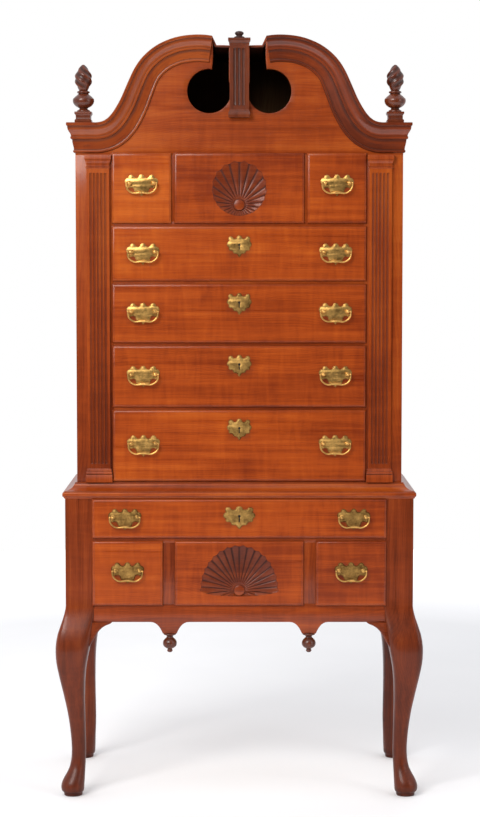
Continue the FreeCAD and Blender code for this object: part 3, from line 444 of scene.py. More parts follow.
def flat_piece(loops, y0, y1, bevel=0.0008, seg=2):
    """A board sawn to an outline in XZ, from y0 to y1, edges eased; the first loop
    is the outside, the others are holes."""
    cu = bpy.data.curves.new("tmp_outline", "CURVE")
    cu.dimensions = "2D"
    cu.fill_mode = "BOTH"
    for loop in loops:
        sp = cu.splines.new("POLY")
        sp.points.add(len(loop) - 1)
        for pt, (x, z) in zip(sp.points, loop):
            pt.co = (x, z, 0, 1)
        sp.use_cyclic_u = True
    cu.extrude = (y1 - y0) / 2 - bevel
    cu.bevel_depth = bevel
    cu.bevel_resolution = seg - 1
    cu.offset = -bevel
    ob = bpy.data.objects.new("tmp_outline", cu)
    bpy.context.scene.collection.objects.link(ob)
    bpy.context.view_layer.update()
    me = bpy.data.meshes.new_from_object(ob.evaluated_get(bpy.context.evaluated_depsgraph_get()))
    bm = bmesh.new()
    bm.from_mesh(me)
    bmesh.ops.remove_doubles(bm, verts=list(bm.verts), dist=1e-6)
    bmesh.ops.recalc_face_normals(bm, faces=list(bm.faces))
    mid = (y0 + y1) / 2
    verts = [(v.co.x, mid - v.co.z, v.co.y) for v in bm.verts]
    bm.verts.index_update()
    faces = [[v.index for v in f.verts] for f in bm.faces]
    bm.free()
    bpy.data.objects.remove(ob)
    bpy.data.curves.remove(cu)
    bpy.data.meshes.remove(me)
    return verts, faces


def swap_axes(verts, order, sign=(1, 1, 1)):
    v = np.asarray(verts, float)
    return v[:, list(order)] * np.array(sign)


def mirrored(verts, faces, axis=0, about=0.0):
    v = np.asarray(verts, float).copy()
    v[:, axis] = 2 * about - v[:, axis]
    return v, [list(reversed(f)) for f in faces]


# ----------------------------------------------------------------------- legs
LEG = [
    (550, 494.0, 412.0, 26), (540, 495.1, 412.2, 20), (525, 498.6, 412.9, 13), (510, 503.2, 414.4, 10), (490, 510.2, 417.1, 8),
    (470, 516.9, 420.5, 6.6), (450, 521.1, 423.4, 5.6), (432, 523.2, 426.3, 5), (418, 523.5, 428.8, 4.6), (400, 522.9, 432.4, 4.2),
    (385, 521.4, 435.2, 4), (370, 519.0, 437.5, 3.8), (355, 516.0, 439.2, 3.6), (340, 513.0, 440.4, 3.4), (325, 509.8, 441.2, 3.2),
    (310, 506.5, 441.7, 3.1), (295, 503.2, 442.1, 3), (280, 500.2, 442.3, 2.9), (265, 496.9, 442.3, 2.8), (250, 494.0, 442.4, 2.7),
    (235, 491.4, 442.1, 2.6), (220, 489.2, 441.9, 2.5), (205, 487.1, 441.7, 2.45), (190, 485.3, 441.4, 2.4), (175, 483.8, 441.1, 2.35),
    (160, 482.6, 440.8, 2.3), (145, 481.7, 440.6, 2.25), (130, 481.2, 440.4, 2.2), (118, 481.4, 440.7, 2.2), (106, 482.2, 441.0, 2.2),
    (95, 483.8, 441.4, 2.15), (85, 485.9, 441.9, 2.1), (76, 488.7, 442.3, 2.1), (68, 492.4, 442.7, 2.1), (60, 496.7, 443.1, 2.1),
    (52, 501.4, 443.3, 2.1), (44, 505.7, 443.7, 2.1), (36, 508.9, 444.1, 2.1), (28, 510.8, 444.5, 2.1), (20, 510.6, 444.9, 2.1),
    (15, 509.4, 445.6, 2.1), (12, 507.2, 447.0, 2.1), (10.5, 504.5, 448.9, 2.1), (9.5, 503.4, 449.6, 2.1), (3.5, 503.0, 450.0, 2.1),
    (1.2, 502.4, 450.5, 2.1), (0, 501.0, 451.7, 2.1),
]


def leg_mesh():
    seg = 72
    rings = [(872, 494.0, 412.0, 60.0), (871.3, 494.0, 412.0, 60.0), (760, 494.0, 412.0, 60.0), (650, 494.0, 412.0, 60.0), (580, 494.0, 412.0, 44.0)] + LEG
    verts, gp, sh = [], [], []
    for z, outer, inner, p in rings:
        half, c = (outer - inner) / 2, (outer + inner) / 2
        cy = YF / MM + 494.0 - c
        for k in range(seg):
            a = 2 * math.pi * (k + 0.5) / seg
            cs, sn = math.cos(a), math.sin(a)
            x = c + half * math.copysign(abs(cs) ** (2 / p), cs)
            y = cy + half * math.copysign(abs(sn) ** (2 / p), sn)
            verts.append((x * MM, y * MM, z * MM))
            gp.append((z * MM, (x - 453) * MM, (y + 207) * MM))
            # darker down the leg and at the foot: real dirt low down together with painted shade for the light falling
            # off towards the floor
            s = 0.34 * min(1.0, max(0.0, (575 - z) / 150.0)) + 0.12 * min(1.0, max(0.0, (300 - z) / 200.0))
            if z < 30:
                s += 0.3 * (30 - z) / 30
            # inner face of the knee under the case darker: painted shade
            inward = max(0.0, (453 - x) / 45) * max(0.0, 1 - abs(z - 500) / 90)
            sh.append(min(1.0, s + 0.5 * inward))
    faces = grid_faces(len(rings), seg, wrap_v=True)
    faces.append(list(range(seg)))
    faces.append([(len(rings) - 1) * seg + k for k in range(seg)][::-1])
    return np.array(verts), faces, np.array(gp), np.array(sh)


lv, lf, lg, ls = leg_mesh()
for name, mx, my in (("leg_front_right", 0, 0), ("leg_front_left", 1, 0), ("leg_rear_right", 0, 1), ("leg_rear_left", 1, 1)):
    v, f = lv, lf
    if mx:
        v, f = mirrored(v, f, 0)
    if my:
        v, f = mirrored(v, f, 1, YMID)
    Build().add(v, f, grain_pts=lg, shade=ls).make(name + "_carved", [LEGS], slot="cherry_dark", replaces=[name], angle=42)

# ---------------------------------------------------------------- lower case
APRON = [(412, 503), (355, 503), (253, 503), (246, 502.2), (240.5, 500), (235, 496.5), (230, 491.5), (226, 486), (222.5, 480), (219.8, 474.5), (218, 470),
         (178, 470), (176.2, 474.5), (173.5, 480), (170, 486), (166, 491.5), (161, 496.5), (155.5, 500), (150, 502.2), (143, 503)]
ap = [(412, 556), (412, 544), (418, 539), (418, 503)] + APRON[1:]
ap = ap + [(-x, z) for x, z in reversed(ap)]
v, f = flat_piece([[(x * MM, z * MM) for x, z in reversed(ap)]], YF, YF + 0.022, 0.0016, 3)
# painted shade along the top edge, under the drawers' lips, and on the scallops low down
B = Build().add(v, f, "x", tone=0.7, shade=[0.25 if abs(q[2] - 0.556) < 0.004 else (0.18 if q[2] < 0.484 else 0.0) for q in v])
B.make("apron_board", [CASE], slot="cherry_case", replaces=["apron"])

sy0, sy1 = YF + 0.082, YB - 0.082
smid = (sy0 + sy1) / 2
so = [(sy0, .872), (sy0, .544), (sy0 - .006, .539), (sy0 - .006, .503), (sy0 + .034, .503), (sy0 + .040, .497), (sy0 + .048, .4915), (sy0 + .058, .4893), (sy0 + .067, .4915), (sy0 + .075, .4985),
      (sy0 + .083, .508), (sy0 + .092, .5145), (sy0 + .104, .5185), (sy0 + .118, .520)]
so = so + [(2 * smid - a, b) for a, b in reversed(so)]
v, f = flat_piece([so], -0.010, 0.010, 0.0014, 3)
v = np.asarray(v)
right = np.stack([-v[:, 1] + 0.484, v[:, 0], v[:, 2]], 1)
for nm, sgn in (("right", 1), ("left", -1)):
    vv, ff = (right, f) if sgn > 0 else mirrored(right, f, 0)
    Build().add(vv, ff, "y", shade=[0.22 if abs(abs(q[1] - smid) - (sy1 - sy0) / 2) < 0.004 else 0 for q in vv]).make("lower_side_%s_board" % nm, [CASE], slot="cherry_case", replaces=["lower_side_" + nm])

# knee brackets: the face swells with the knee and dies away along the apron
BR = smooth_curve([(-14.5, -70.0), (-4.5, -54.0), (2.5, -41.0), (10.0, -28.5), (20.0, -17.5), (32.0, -9.8), (45.0, -4.4), (50.0, -0.3)], 30)


def bracket(length, reach, front, back):
    """In a frame where u runs away from the leg, z down from the apron, and the
    face stands forward of `front` by the bulge. The end at the leg leans out
    with the knee."""
    nu, nv = 30, 12
    verts = []
    scale = length / 50.0
    for side in (0, 1):
        for i in range(nu):
            u0, zlow = BR[i]
            u = u0 * scale if u0 > 0 else u0
            top = float(np.interp(-u0, [6.4, 10.6, 14.5], [0.0, -33.0, -60.0]))
            for j in range(nv):
                tt = j / (nv - 1)
                z = top + (zlow - top) * tt
                near = min(1.0, max(0.0, 1 - u / (length * 0.95))) ** 1.6
                kick = (0.55 + 0.45 * min(1.0, -z / 60.0)) * near
                edge = 1 - 0.35 * max(0.0, (tt - 0.78) / 0.22) ** 2
                y = front - reach * kick * edge if side == 0 else back
                verts.append((u, y, z))
    faces = grid_faces(nu, nv)
    o = nu * nv
    faces += [[a + o for a in reversed(q)] for q in grid_faces(nu, nv)]
    for i in range(nu - 1):
        a, b2 = i * nv, (i + 1) * nv
        faces.append([b2, a, a + o, b2 + o])
        a, b2 = i * nv + nv - 1, (i + 1) * nv + nv - 1
        faces.append([a, b2, b2 + o, a + o])
    for j in range(nv - 1):
        a, b2 = j, j + 1
        faces.append([a, b2, b2 + o, a + o])
        a, b2 = (nu - 1) * nv + j, (nu - 1) * nv + j + 1
        faces.append([b2, a, a + o, b2 + o])
    return np.array(verts) * MM, faces


bk = Build()
v, f = bracket(50.0, 15.0, YF / MM, YF / MM + 22)
base = np.stack([0.412 - v[:, 0], v[:, 1], 0.503 + v[:, 2]], 1)
bk.add(*mirrored(base, f, 0), grain="x", shade=0.12)
bk.add(base, f, grain="x", shade=0.12)
v, f = bracket(31.0, 15.0, -494.0, -472.0)
for sx in (1, -1):
    for rear in (0, 1):
        w = np.stack([-v[:, 1] * sx, sy0 + v[:, 0], 0.503 + v[:, 2]], 1)
        ff = f
        if sx < 0:
            ff = [list(reversed(q)) for q in f]
        if rear:
            w[:, 1] = 2 * YMID - w[:, 1]
            ff = [list(reversed(q)) for q in ff]
        bk.add(w, ff, grain="y", shade=0.12)
kb = bk.make("knee_brackets_carved", [LEGS], slot="cherry_dark", replaces=["knee_brackets"], angle=50)
bm = bmesh.new(); bm.from_mesh(kb.data); bmesh.ops.recalc_face_normals(bm, faces=list(bm.faces)); bm.to_mesh(kb.data); bm.free()

# turned drops
DROP = [(0, 470), (17.4, 470), (18.1, 469.1), (18.1, 466.7), (17.1, 465.6), (12.7, 464.2), (9.9, 462.1), (8.9, 459.9), (9.5, 457.8), (12.1, 455.1), (15.8, 451.6), (18.8, 447.3), (20, 442),
        (19.8, 437.7), (18.1, 433.3), (14.8, 429.6), (10.5, 427), (7.4, 425.4), (6.3, 423.8), (6.5, 422.8), (7.8, 421.6), (8.2, 419.8), (7.4, 417.7), (5.5, 415.8), (3, 414.7), (0, 414.4)]
dr = Build()
for sx in (1, -1):
    v, f, g = lathe([(r * MM, z * MM) for r, z in reversed(DROP)], (0.198 * sx, YF + 0.011), 36)
    # painted shade in the drops' deepest grooves
    dr.add(v, f, grain_pts=g, shade=[0.45 if 0.4228 < q[2] < 0.4259 or 0.4582 < q[2] < 0.4617 else 0.05 for q in v])
dr.make("apron_drops_turned", [DARK], slot="cherry_dark", replaces=["apron_drops"], angle=50)


# ---------------------------------------------------------------- mouldings
def profile_curve(kind_points, count=None):
    return np.array(kind_points, float)


WAIST = [(-27.0, 900.0), (-27.0, 897.2), (-26.2, 896.4), (-25.0, 896.2), (-23.6, 892.0), (-21.0, 887.8), (-17.0, 884.2), (-12.0, 881.2), (-6.0, 878.9), (0.0, 877.6),
         (2.0, 877.2), (2.4, 875.2), (4.6, 874.8), (6.2, 873.4), (7.0, 871.2), (7.0, 865.4), (6.5, 863.4), (5.2, 862.2), (3.8, 862.0), (3.6, 860.2), (2.6, 858.0), (0.2, 856.0), (-0.6, 856.0)]


def moulding_strip(prof, stations, shade=None):
    """Sweeps a moulding section through stations; each station gives a function
    from (out, z) to a point. Returns verts, faces, grain points and shade."""
    verts, gp, sh = [], [], []
    dist, prev = 0.0, None
    plen = np.r_[0, np.cumsum(np.linalg.norm(np.diff(np.array(prof), axis=0), axis=1))]
    for st in stations:
        row = [st(o, z) for o, z in prof]
        mid = np.array(row[len(row) // 2])
        if prev is not None:
            dist += np.linalg.norm(mid - prev)
        prev = mid
        for k, p in enumerate(row):
            verts.append(p)
            gp.append((dist, plen[k] * MM, prof[k][0] * MM))
            sh.append(shade[k] if shade is not None else 0.0)
    return np.array(verts), grid_faces(len(stations), len(prof)), np.array(gp), np.array(sh)


def recess_shade(prof, reach=2):
    """Darker where the section turns inwards."""
    p = np.array(prof, float)
    out = np.zeros(len(p))
    for i in range(1, len(p) - 1):
        a, b = p[i] - p[i - 1], p[i + 1] - p[i]
        cross = a[0] * b[1] - a[1] * b[0]
        ang = math.atan2(cross, float(a @ b))
        if ang > 0.25:
            out[i] = min(1.0, ang * 0.55)
    return out


wp = WAIST + [(-0.6, 871.9), (-32.4, 871.9), (-32.4, 900.0)]
wsh = recess_shade(WAIST).tolist() + [0.0, 0.0, 0.0]
wm = Build()


def closed_strip(prof, stations, shade, build, caps=True):
    v, f, g, s = moulding_strip(prof + [prof[0]], stations, list(shade) + [shade[0]])
    n = len(prof) + 1
    if caps:
        f = f + [[k for k in range(n - 1)][::-1], [(len(stations) - 1) * n + k for k in range(n - 1)]]
    build.add(v, f, grain_pts=g, shade=s)


def lin(a, b, n):
    return [a + (b - a) * k / (n - 1) for k in range(n)]


closed_strip(wp, [(lambda o, z, t=t: ((LH / MM + o) * MM * t, (YF / MM - o) * MM, z * MM)) for t in lin(-1, 1, 9)], wsh, wm)
closed_strip(wp, [(lambda o, z, y=y: ((LH / MM + o) * MM, (YF / MM - o) * MM * (1 - y) + YUB * y, z * MM)) for y in lin(0, 1, 7)], wsh, wm)
closed_strip(wp, [(lambda o, z, y=y: (-(LH / MM + o) * MM, (YF / MM - o) * MM * y + YUB * (1 - y), z * MM)) for y in lin(0, 1, 7)], wsh, wm)
ob = wm.make("waist_moulding_run", [CASE], slot="cherry_dark", replaces=["waist_moulding"], angle=35)
bm = bmesh.new(); bm.from_mesh(ob.data); bmesh.ops.recalc_face_normals(bm, faces=list(bm.faces)); bm.to_mesh(ob.data); bm.free()

# --------------------------------------------------------------------- bonnet
SWAN = [(461.5, 1916.0), (400.0, 1916.0), (384.0, 1919.0), (370.0, 1927.0), (356.0, 1942.0), (343.0, 1962.0), (331.0, 1984.0),
        (320.0, 2009.0), (308.0, 2036.0), (296.0, 2061.0), (283.0, 2082.0), (270.0, 2098.0), (256.0, 2111.5), (240.0, 2124.0),
        (222.0, 2135.0), (202.0, 2144.0), (180.0, 2151.5), (156.0, 2156.5), (132.0, 2159.0), (111.0, 2159.5), (92.0, 2158.5), (75.0, 2156.0)]
curve_part = smooth_curve([(420.0, 1916.0), (400.0, 1916.0)] + SWAN[2:], 84)
curve_part[:3, 1] = 1916.0
swan = np.vstack([[[461.5, 1916.0]], curve_part])


def inward(pts):
    t = np.gradient(pts, axis=0)
    t /= np.linalg.norm(t, axis=1)[:, None]
    n = np.stack([-t[:, 1], t[:, 0]], 1) * 1.0
    n[n[:, 1] > 0] *= -1
    # the curve runs from the corner to the middle, inside is below and inwards
    n = np.stack([t[:, 1], -t[:, 0]], 1)
    n = np.where((n[:, 1:2] > 0), -n, n)
    return n


SN = inward(swan)
SN[0] = (0, -1)
arc = np.r_[0, np.cumsum(np.linalg.norm(np.diff(swan, axis=0), axis=1))]
WIDTH = 85.0 - 11.0 * np.clip((arc - 60.0) / 200.0, 0, 1)
# section: share of the width down from the top edge, millimetres forward
CORN = [(0.0, 0.0), (0.0, 22.6), (0.012, 24.0), (0.085, 24.0), (0.105, 23.2), (0.112, 21.2), (0.15, 21.0), (0.20, 20.4), (0.255, 18.8), (0.31, 16.2), (0.35, 13.8), (0.39, 12.2), (0.43, 11.4),
        (0.455, 11.2), (0.462, 12.8), (0.50, 12.9), (0.53, 12.2), (0.548, 10.2), (0.552, 8.2), (0.60, 8.0), (0.66, 7.4), (0.74, 5.9), (0.80, 4.5), (0.85, 3.9), (0.90, 3.8), (0.905, 5.4),
        (0.94, 5.9), (0.975, 5.2), (0.995, 2.6), (1.0, 0.0)]
# csh: painted shade in the moulding's hollows and along its lowest edge
csh = []
for i, (s, t) in enumerate(CORN):
    csh.append(0.55 if (0.105 < s < 0.16 or 0.448 < s < 0.458 or 0.55 < s < 0.62 or 0.86 < s < 0.903 or s > 0.99) else 0.0)
cb = Build()
for sx in (1, -1):
    stations = []
    for y in lin(YUB, YU, 8)[:-1]:
        stations.append(lambda s, t, y=y: (sx * (UH + t * MM), y, (1916.0 - s * 85.0) * MM))
    stations.append(lambda s, t: (sx * (UH + t * MM), YU - t * MM, (1916.0 - s * 85.0) * MM))
    n_back = len(stations)
    for i in range(1, len(swan)):
        stations.append(lambda s, t, i=i: (sx * (swan[i][0] + SN[i][0] * s * WIDTH[i]) * MM, YU - t * MM, (swan[i][1] + SN[i][1] * s * WIDTH[i]) * MM))
    # keep the arch end upright against the opening
    v, f, g, s = moulding_strip(CORN, stations, csh)
    v = v.reshape(len(stations), len(CORN), 3)
    for i in range(n_back, len(stations)):
        low = np.abs(v[i, :, 0]) < 0.075
        v[i, low, 0] = sx * 0.075
    v = v.reshape(-1, 3)
    n = len(CORN)
    f.append([k for k in range(n)])
    f.append([(len(stations) - 1) * n + k for k in range(n)][::-1])
    # closing strip against the case
    for i in range(len(stations) - 1):
        a = i * n
        b2 = (i + 1) * n
        f.append([a + n - 1, b2 + n - 1, b2, a])
    # right-hand moulding toned darker and left-hand lighter: painted light from the left
    cb.add(v, f, grain_pts=g, shade=s, tone=-1.6 if sx > 0 else 0.9)
ob = cb.make("cornice_swan_mouldings", [MOULD], slot="cherry_dark", replaces=["cornice_mouldings"], angle=32)
bm = bmesh.new(); bm.from_mesh(ob.data); bmesh.ops.recalc_face_normals(bm, faces=list(bm.faces)); bm.to_mesh(ob.data); bm.free()

# hood boards: narrow staves running front to back over the outline
roof = np.vstack([swan, [[64.0, 2132.0], [48.0, 2132.0], [24.0, 2132.0], [0.0, 2132.0]]])
rn = inward(roof)
rn[0] = (0, -1); rn[-1] = (0, -1); rn[-2] = (0, -1); rn[-3] = (0, -1)
under = roof + rn * 7.0
hb = Build()
groups = []
i = 0
while i < len(roof) - 1:
    j = i + 1
    run = 0
    while j < len(roof) - 1:
        run = np.linalg.norm(np.diff(roof[i:j + 1], axis=0), axis=1).sum()
        if run > 52:
            break
        j += 1
    groups.append((i, j))
    i = j
for sx in (1, -1):
    for (i, j) in groups:
        top = roof[i:j + 1].copy()
        bot = under[i:j + 1].copy()
        # ease the two long edges of each stave
        top[0] += (bot[0] - top[0]) * 0.10 + (top[1] - top[0]) / max(1e-6, np.linalg.norm(top[1] - top[0])) * 0.25
        top[-1] += (bot[-1] - top[-1]) * 0.10 + (top[-2] - top[-1]) / max(1e-6, np.linalg.norm(top[-2] - top[-1])) * 0.25
        ring = np.vstack([top, bot[::-1]])
        n = len(ring)
        verts, gp = [], []
        for y in (YU, YU + 0.001, YUB - 0.001, YUB):
            e = 0.0
            for q in ring:
                verts.append((sx * q[0] * MM, y, q[1] * MM))
                gp.append((y, (q[0] * 0.8 + q[1] * 0.6) * MM, 0.0))
        faces = grid_faces(4, n, wrap_v=True, flip=(sx > 0))
        e0 = list(range(n))
        e1 = [3 * n + k for k in range(n)]
        faces.append(e0 if sx < 0 else e0[::-1])
        faces.append(e1[::-1] if sx < 0 else e1)
        # staves' undersides darkened: painted shade under the hood, seen through the openings
        hs = [0.05] * len(top) + [1.0] * len(bot)
        hb.add(verts, faces, grain_pts=gp, shade=hs * 4)
ob = hb.make("bonnet_hood_staves", [CASE], slot="cherry_case", replaces=["bonnet_hood"], angle=30)
bm = bmesh.new(); bm.from_mesh(ob.data); bmesh.ops.recalc_face_normals(bm, faces=list(bm.faces)); bm.to_mesh(ob.data); bm.free()

# pediment board: two round openings whose slots rise to its upper edge
pu = [(461.5, 1909.0)] + [tuple(p) for p in under[1:-1]] + [(0.0, 2125.0)]


def roof_height(x):
    xs = [p[0] for p in pu][::-1]
    zs = [p[1] for p in pu][::-1]
    return float(np.interp(abs(x), xs, zs))


EYE = (84.5, 2004.5, 62.0)
eye_cut = [(74.0, roof_height(74.0)), (74.0, 2104.0), (74.6, 2090.0), (75.8, 2076.0)]
for k in range(53):
    a = math.radians(96.9 - 303.3 * k / 52.0)
    eye_cut.append((EYE[0] + EYE[2] * math.cos(a), EYE[1] + EYE[2] * math.sin(a)))
eye_cut += [(29.0, 2044.0), (29.0, 2084.0), (29.0, roof_height(29.0))]
half = [q for q in pu if q[0] > 74.5] + eye_cut
ped = [(-461.5, 1826.0), (461.5, 1826.0)] + half + [(-x, z) for x, z in reversed(half)]
v, f = flat_piece([[(x * MM, z * MM) for x, z in ped]], YU, YU + 0.022, 0.0010, 3)
v, f = sliced(v, f, np.linspace(-0.44, 0.44, 45), np.linspace(1.85, 2.12, 12))
# painted shade in a band round each opening; tone lighter at the left end, painted light for the glare there, and
# darker towards the middle, most under the left opening
sh, tn = [], []
for q in v:
    d = math.hypot(abs(q[0]) - 0.0845, q[2] - 2.0045)
    sh.append(0.25 * min(1.0, max(0.0, (0.080 - d) / 0.015)))
    across = float(np.interp(q[0], [-0.36, -0.27, -0.21, -0.15, -0.09, 0.0, 0.12, 0.24, 0.34], [1.5, 0.9, -0.2, -1.5, -2.1, -1.5, -0.9, -0.6, -0.1]))
    tn.append(across * float(np.interp(q[2], [1.826, 1.87, 2.0, 2.12], [0.6, 1.0, 1.0, 0.6])))
Build().add(v, f, "x", shade=sh, tone=tn).make("pediment_board_sawn", [CASE], slot="cherry_case", replaces=["pediment_board"])


# ------------------------------------------------------- plain boards of the case
def boxes_of(name):
    """The separate boards of a CAD node, each as its lowest and highest corner."""
    me = NODES[name].data
    key, index = {}, []
    for vtx in me.vertices:
        k = tuple(round(c, 5) for c in vtx.co)
        index.append(key.setdefault(k, len(key)))
    parent = list(range(len(key)))

    def root(a):
        while parent[a] != a:
            parent[a] = parent[parent[a]]
            a = parent[a]
        return a

    for p in me.polygons:
        ids = [index[i] for i in p.vertices]
        for other in ids[1:]:
            parent[root(ids[0])] = root(other)
    groups = {}
    for k, i in key.items():
        groups.setdefault(root(i), []).append(k)
    out = []
    for pts in groups.values():
        a = np.array(pts)
        out.append((a.min(0), a.max(0)))
    return sorted(out, key=lambda b: tuple(b[0]))


def down_tone(z):
    """The uprights of the upper case are darker towards the waist: painted shade for the light falling off lower down.
    """
    return float(np.interp(z, [0.90, 0.99, 1.12, 1.26, 1.40, 1.70, 1.83], [-3.5, -3.3, -2.9, -1.2, 0.2, 1.3, 1.5]))


def boards(node, mat, slot, r=0.0009, grain=None, worn=0.7, tone=None, cuts=(), painted_shade=0.0):
    b = Build()
    for lo, hi in boxes_of(node):
        size = hi - lo
        g = grain or "xyz"[int(np.argmax(size))]
        v, f = soft_box(lo[0], hi[0], lo[1], hi[1], lo[2], hi[2], r)
        v, f = sliced(v, f, (), [c for c in cuts if lo[2] + 0.01 < c < hi[2] - 0.01])
        b.add(v, f, g, shade=np.asarray(rubbed(v, worn)) + painted_shade, tone=[tone(q[2]) for q in v] if tone else 0.0)
    return b.make(node + "_boards", [mat], slot=slot, replaces=[node], angle=60)


# lower rails and partitions darkened: painted shade between the lower drawers
boards("lower_drawer_rails", CASE, "cherry_case", painted_shade=0.13)
boards("upper_drawer_rails", CASE, "cherry_case")
# stiles darker towards the waist through down_tone: painted shade
boards("upper_stiles", CASE, "cherry_case", tone=down_tone, cuts=(0.99, 1.12, 1.26, 1.40, 1.55, 1.70))
boards("upper_side_left", CASE, "cherry_case", 0.0014, "z")
boards("upper_side_right", CASE, "cherry_case", 0.0014, "z")
boards("upper_boards", PINE, "pine", grain="x")
boards("upper_runners", PINE, "pine")
boards("lower_runners", PINE, "pine")

# back boards: planks nailed on, butted edge to edge
bb = Build()
nail = Build()
edges = [-441.5, -301.0, -148.0, 12.0, 166.0, 309.0, 441.5]
for a, c, shift in zip(edges, edges[1:], (0.9, -1.3, 0.3, 1.5, -0.6, -1.6)):
    a2, c2 = a, c
    xs = sorted(set([a2, c2] + [x for x in np.linspace(a2, c2, 15)] + [s * p[0] for p in pu for s in (1, -1) if a2 < s * p[0] < c2]))
    loop = [(a2, 890.0), (c2, 890.0)] + [(x, roof_height(x) if abs(x) < 441 else 1909.0) for x in reversed(xs)]
    v, f = flat_piece([[(x * MM, z * MM) for x, z in loop]], YUB - 0.012, YUB, 0.0011, 2)
    v, f = sliced(v, f, (), (1.800, 1.850))
    ps = []
    for q in v:
        near = min(abs(q[0] / MM - a2), abs(q[0] / MM - c2))
        # inner face above the cut darkened almost to black: painted shade inside the bonnet, behind the openings
        inside = q[1] < YUB - 0.010 and q[2] > 1.845
        ps.append(1.6 if inside else (0.8 if near < 0.6 else (0.35 if near < 1.5 else 0.0)))
    bb.add(v, f, "z", tone=shift, shade=ps)
    for z in (0.896, 1.116, 1.298, 1.472, 1.636, 1.842):
        for x in ((a2 + 18) * MM, (c2 - 18) * MM):
            z2 = z + (RNG.rand() - 0.5) * 0.006
            vv, ff, gg = lathe([(0.0028, YUB - 0.001), (0.0028, YUB + 0.0003), (0.0019, YUB + 0.0007), (0.0, YUB + 0.0008)], (x, z2), 10, "y")
            nail.add(vv, ff, shade=0.3)
bb.make("upper_back_planks", [PINE], slot="pine", replaces=["upper_back_board"], angle=45)
lb = Build()
for a, c, shift in zip([497.0, 618.0, 749.0], [618.0, 749.0, 872.0], (0.6, 2.0, 0.9)):
    v, f = soft_box(-0.412, 0.412, YB - 0.018, YB - 0.004, a * MM, c * MM, 0.0014)
    lb.add(v, f, "x", tone=shift, shade=[0.6 if min(abs(q[2] / MM - a), abs(q[2] / MM - c)) < 0.6 else 0.0 for q in v])
    for x in (-0.398, -0.2, 0.02, 0.21, 0.398):
        for z in ((a + 16) * MM, (c - 16) * MM):
            vv, ff, gg = lathe([(0.0028, YB - 0.005), (0.0028, YB - 0.0037), (0.0019, YB - 0.0033), (0.0, YB - 0.0032)], (x + (RNG.rand() - 0.5) * 0.008, z), 10, "y")
            nail.add(vv, ff, shade=0.3)
lb.make("lower_back_planks", [PINE], slot="pine", replaces=["lower_back_board"], angle=45)
nail.make("back_nails", [IRON], angle=50)


# ------------------------------------------------------- pilasters and plinths
def fluted_panel(x0, x1, z0, z1, y_face, y_back, flutes, margin, end, r, build, nx_per=14, darker_down=False):
    """Upright board whose face is cut with round-ended flutes."""
    step = (x1 - x0 - 2 * margin) / flutes
    centres = [x0 + margin + step * (k + 0.5) for k in range(flutes)]
    xs = {x0, x1}
    for c in centres:
        for a in np.linspace(-1, 1, nx_per + 1):
            xs.add(round(c + r * math.sin(a * math.pi / 2), 5))
        xs.add(round(c - step / 2, 5)); xs.add(round(c + step / 2, 5))
    xs = sorted(xs)
    zs = {z0, z1}
    for a in np.linspace(0, 1, 9):
        zs.add(round(z0 + end - r * math.sin(a * math.pi / 2), 5))
        zs.add(round(z1 - end + r * math.sin(a * math.pi / 2), 5))
    zs.update([round(z, 5) for z in np.linspace(z0 + end, z1 - end, 14)])
    zs.add(z0 + end * 0.4); zs.add(z1 - end * 0.4)
    zs = sorted(zs)
    verts, sh, gp, tn = [], [], [], []
    for z in zs:
        for x in xs:
            d = 0.0
            for c in centres:
                dz = max(0.0, (z0 + end) - z, z - (z1 - end))
                q = r * r - (x - c) ** 2 - dz * dz
                if q > 0:
                    d = max(d, math.sqrt(q) * 0.92)
            verts.append((x, y_face + d, z))
            gp.append((z, x, d))
            # darker with the depth of each flute: painted shade
            sh.append(min(1.0, (d / r) ** 1.3 * 0.45))
            tn.append(down_tone(z) if darker_down else 0.0)
    n = len(xs)
    faces = grid_faces(len(zs), n, flip=True)
    o = len(verts)
    ring = [i for i in range(n)] + [j * n + n - 1 for j in range(1, len(zs))] + [(len(zs) - 1) * n + i for i in range(n - 2, -1, -1)] + [j * n for j in range(len(zs) - 2, 0, -1)]
    back = []
    for i in ring:
        x, y, z = verts[i]
        back.append((x, y_back, z))
    m = len(ring)
    verts += back
    gp += [(b[2], b[0], 0.01) for b in back]
    sh += [0.2] * m
    tn += [down_tone(b[2]) if darker_down else 0.0 for b in back]
    for k in range(m):
        a, b2 = ring[k], ring[(k + 1) % m]
        faces.append([a, o + k, o + (k + 1) % m, b2])
    faces.append([o + k for k in range(m)])
    build.add(verts, faces, grain_pts=gp, shade=sh, tone=tn)


def block(build, x0, x1, y0, y1, prof, grain="z"):
    """Moulded block: its outline steps out by `out` at each height of prof."""
    verts, sh, gp = [], [], []
    rs = recess_shade([(o, z) for o, z in prof][::-1])[::-1]
    for i, (o, z) in enumerate(prof):
        for (x, y) in ((x0 - o, y1), (x0 - o, y0 - o), (x1 + o, y0 - o), (x1 + o, y1)):
            verts.append((x, y, z))
            gp.append((x, z, y) if grain == "x" else (z, x, y))
            sh.append(float(abs(rs[i])))
    faces = grid_faces(len(prof), 4, wrap_v=True, flip=True)
    faces.append([3, 2, 1, 0][::-1])
    faces.append([(len(prof) - 1) * 4 + k for k in range(4)][::-1])
    build.add(verts, faces, grain_pts=gp, shade=sh)


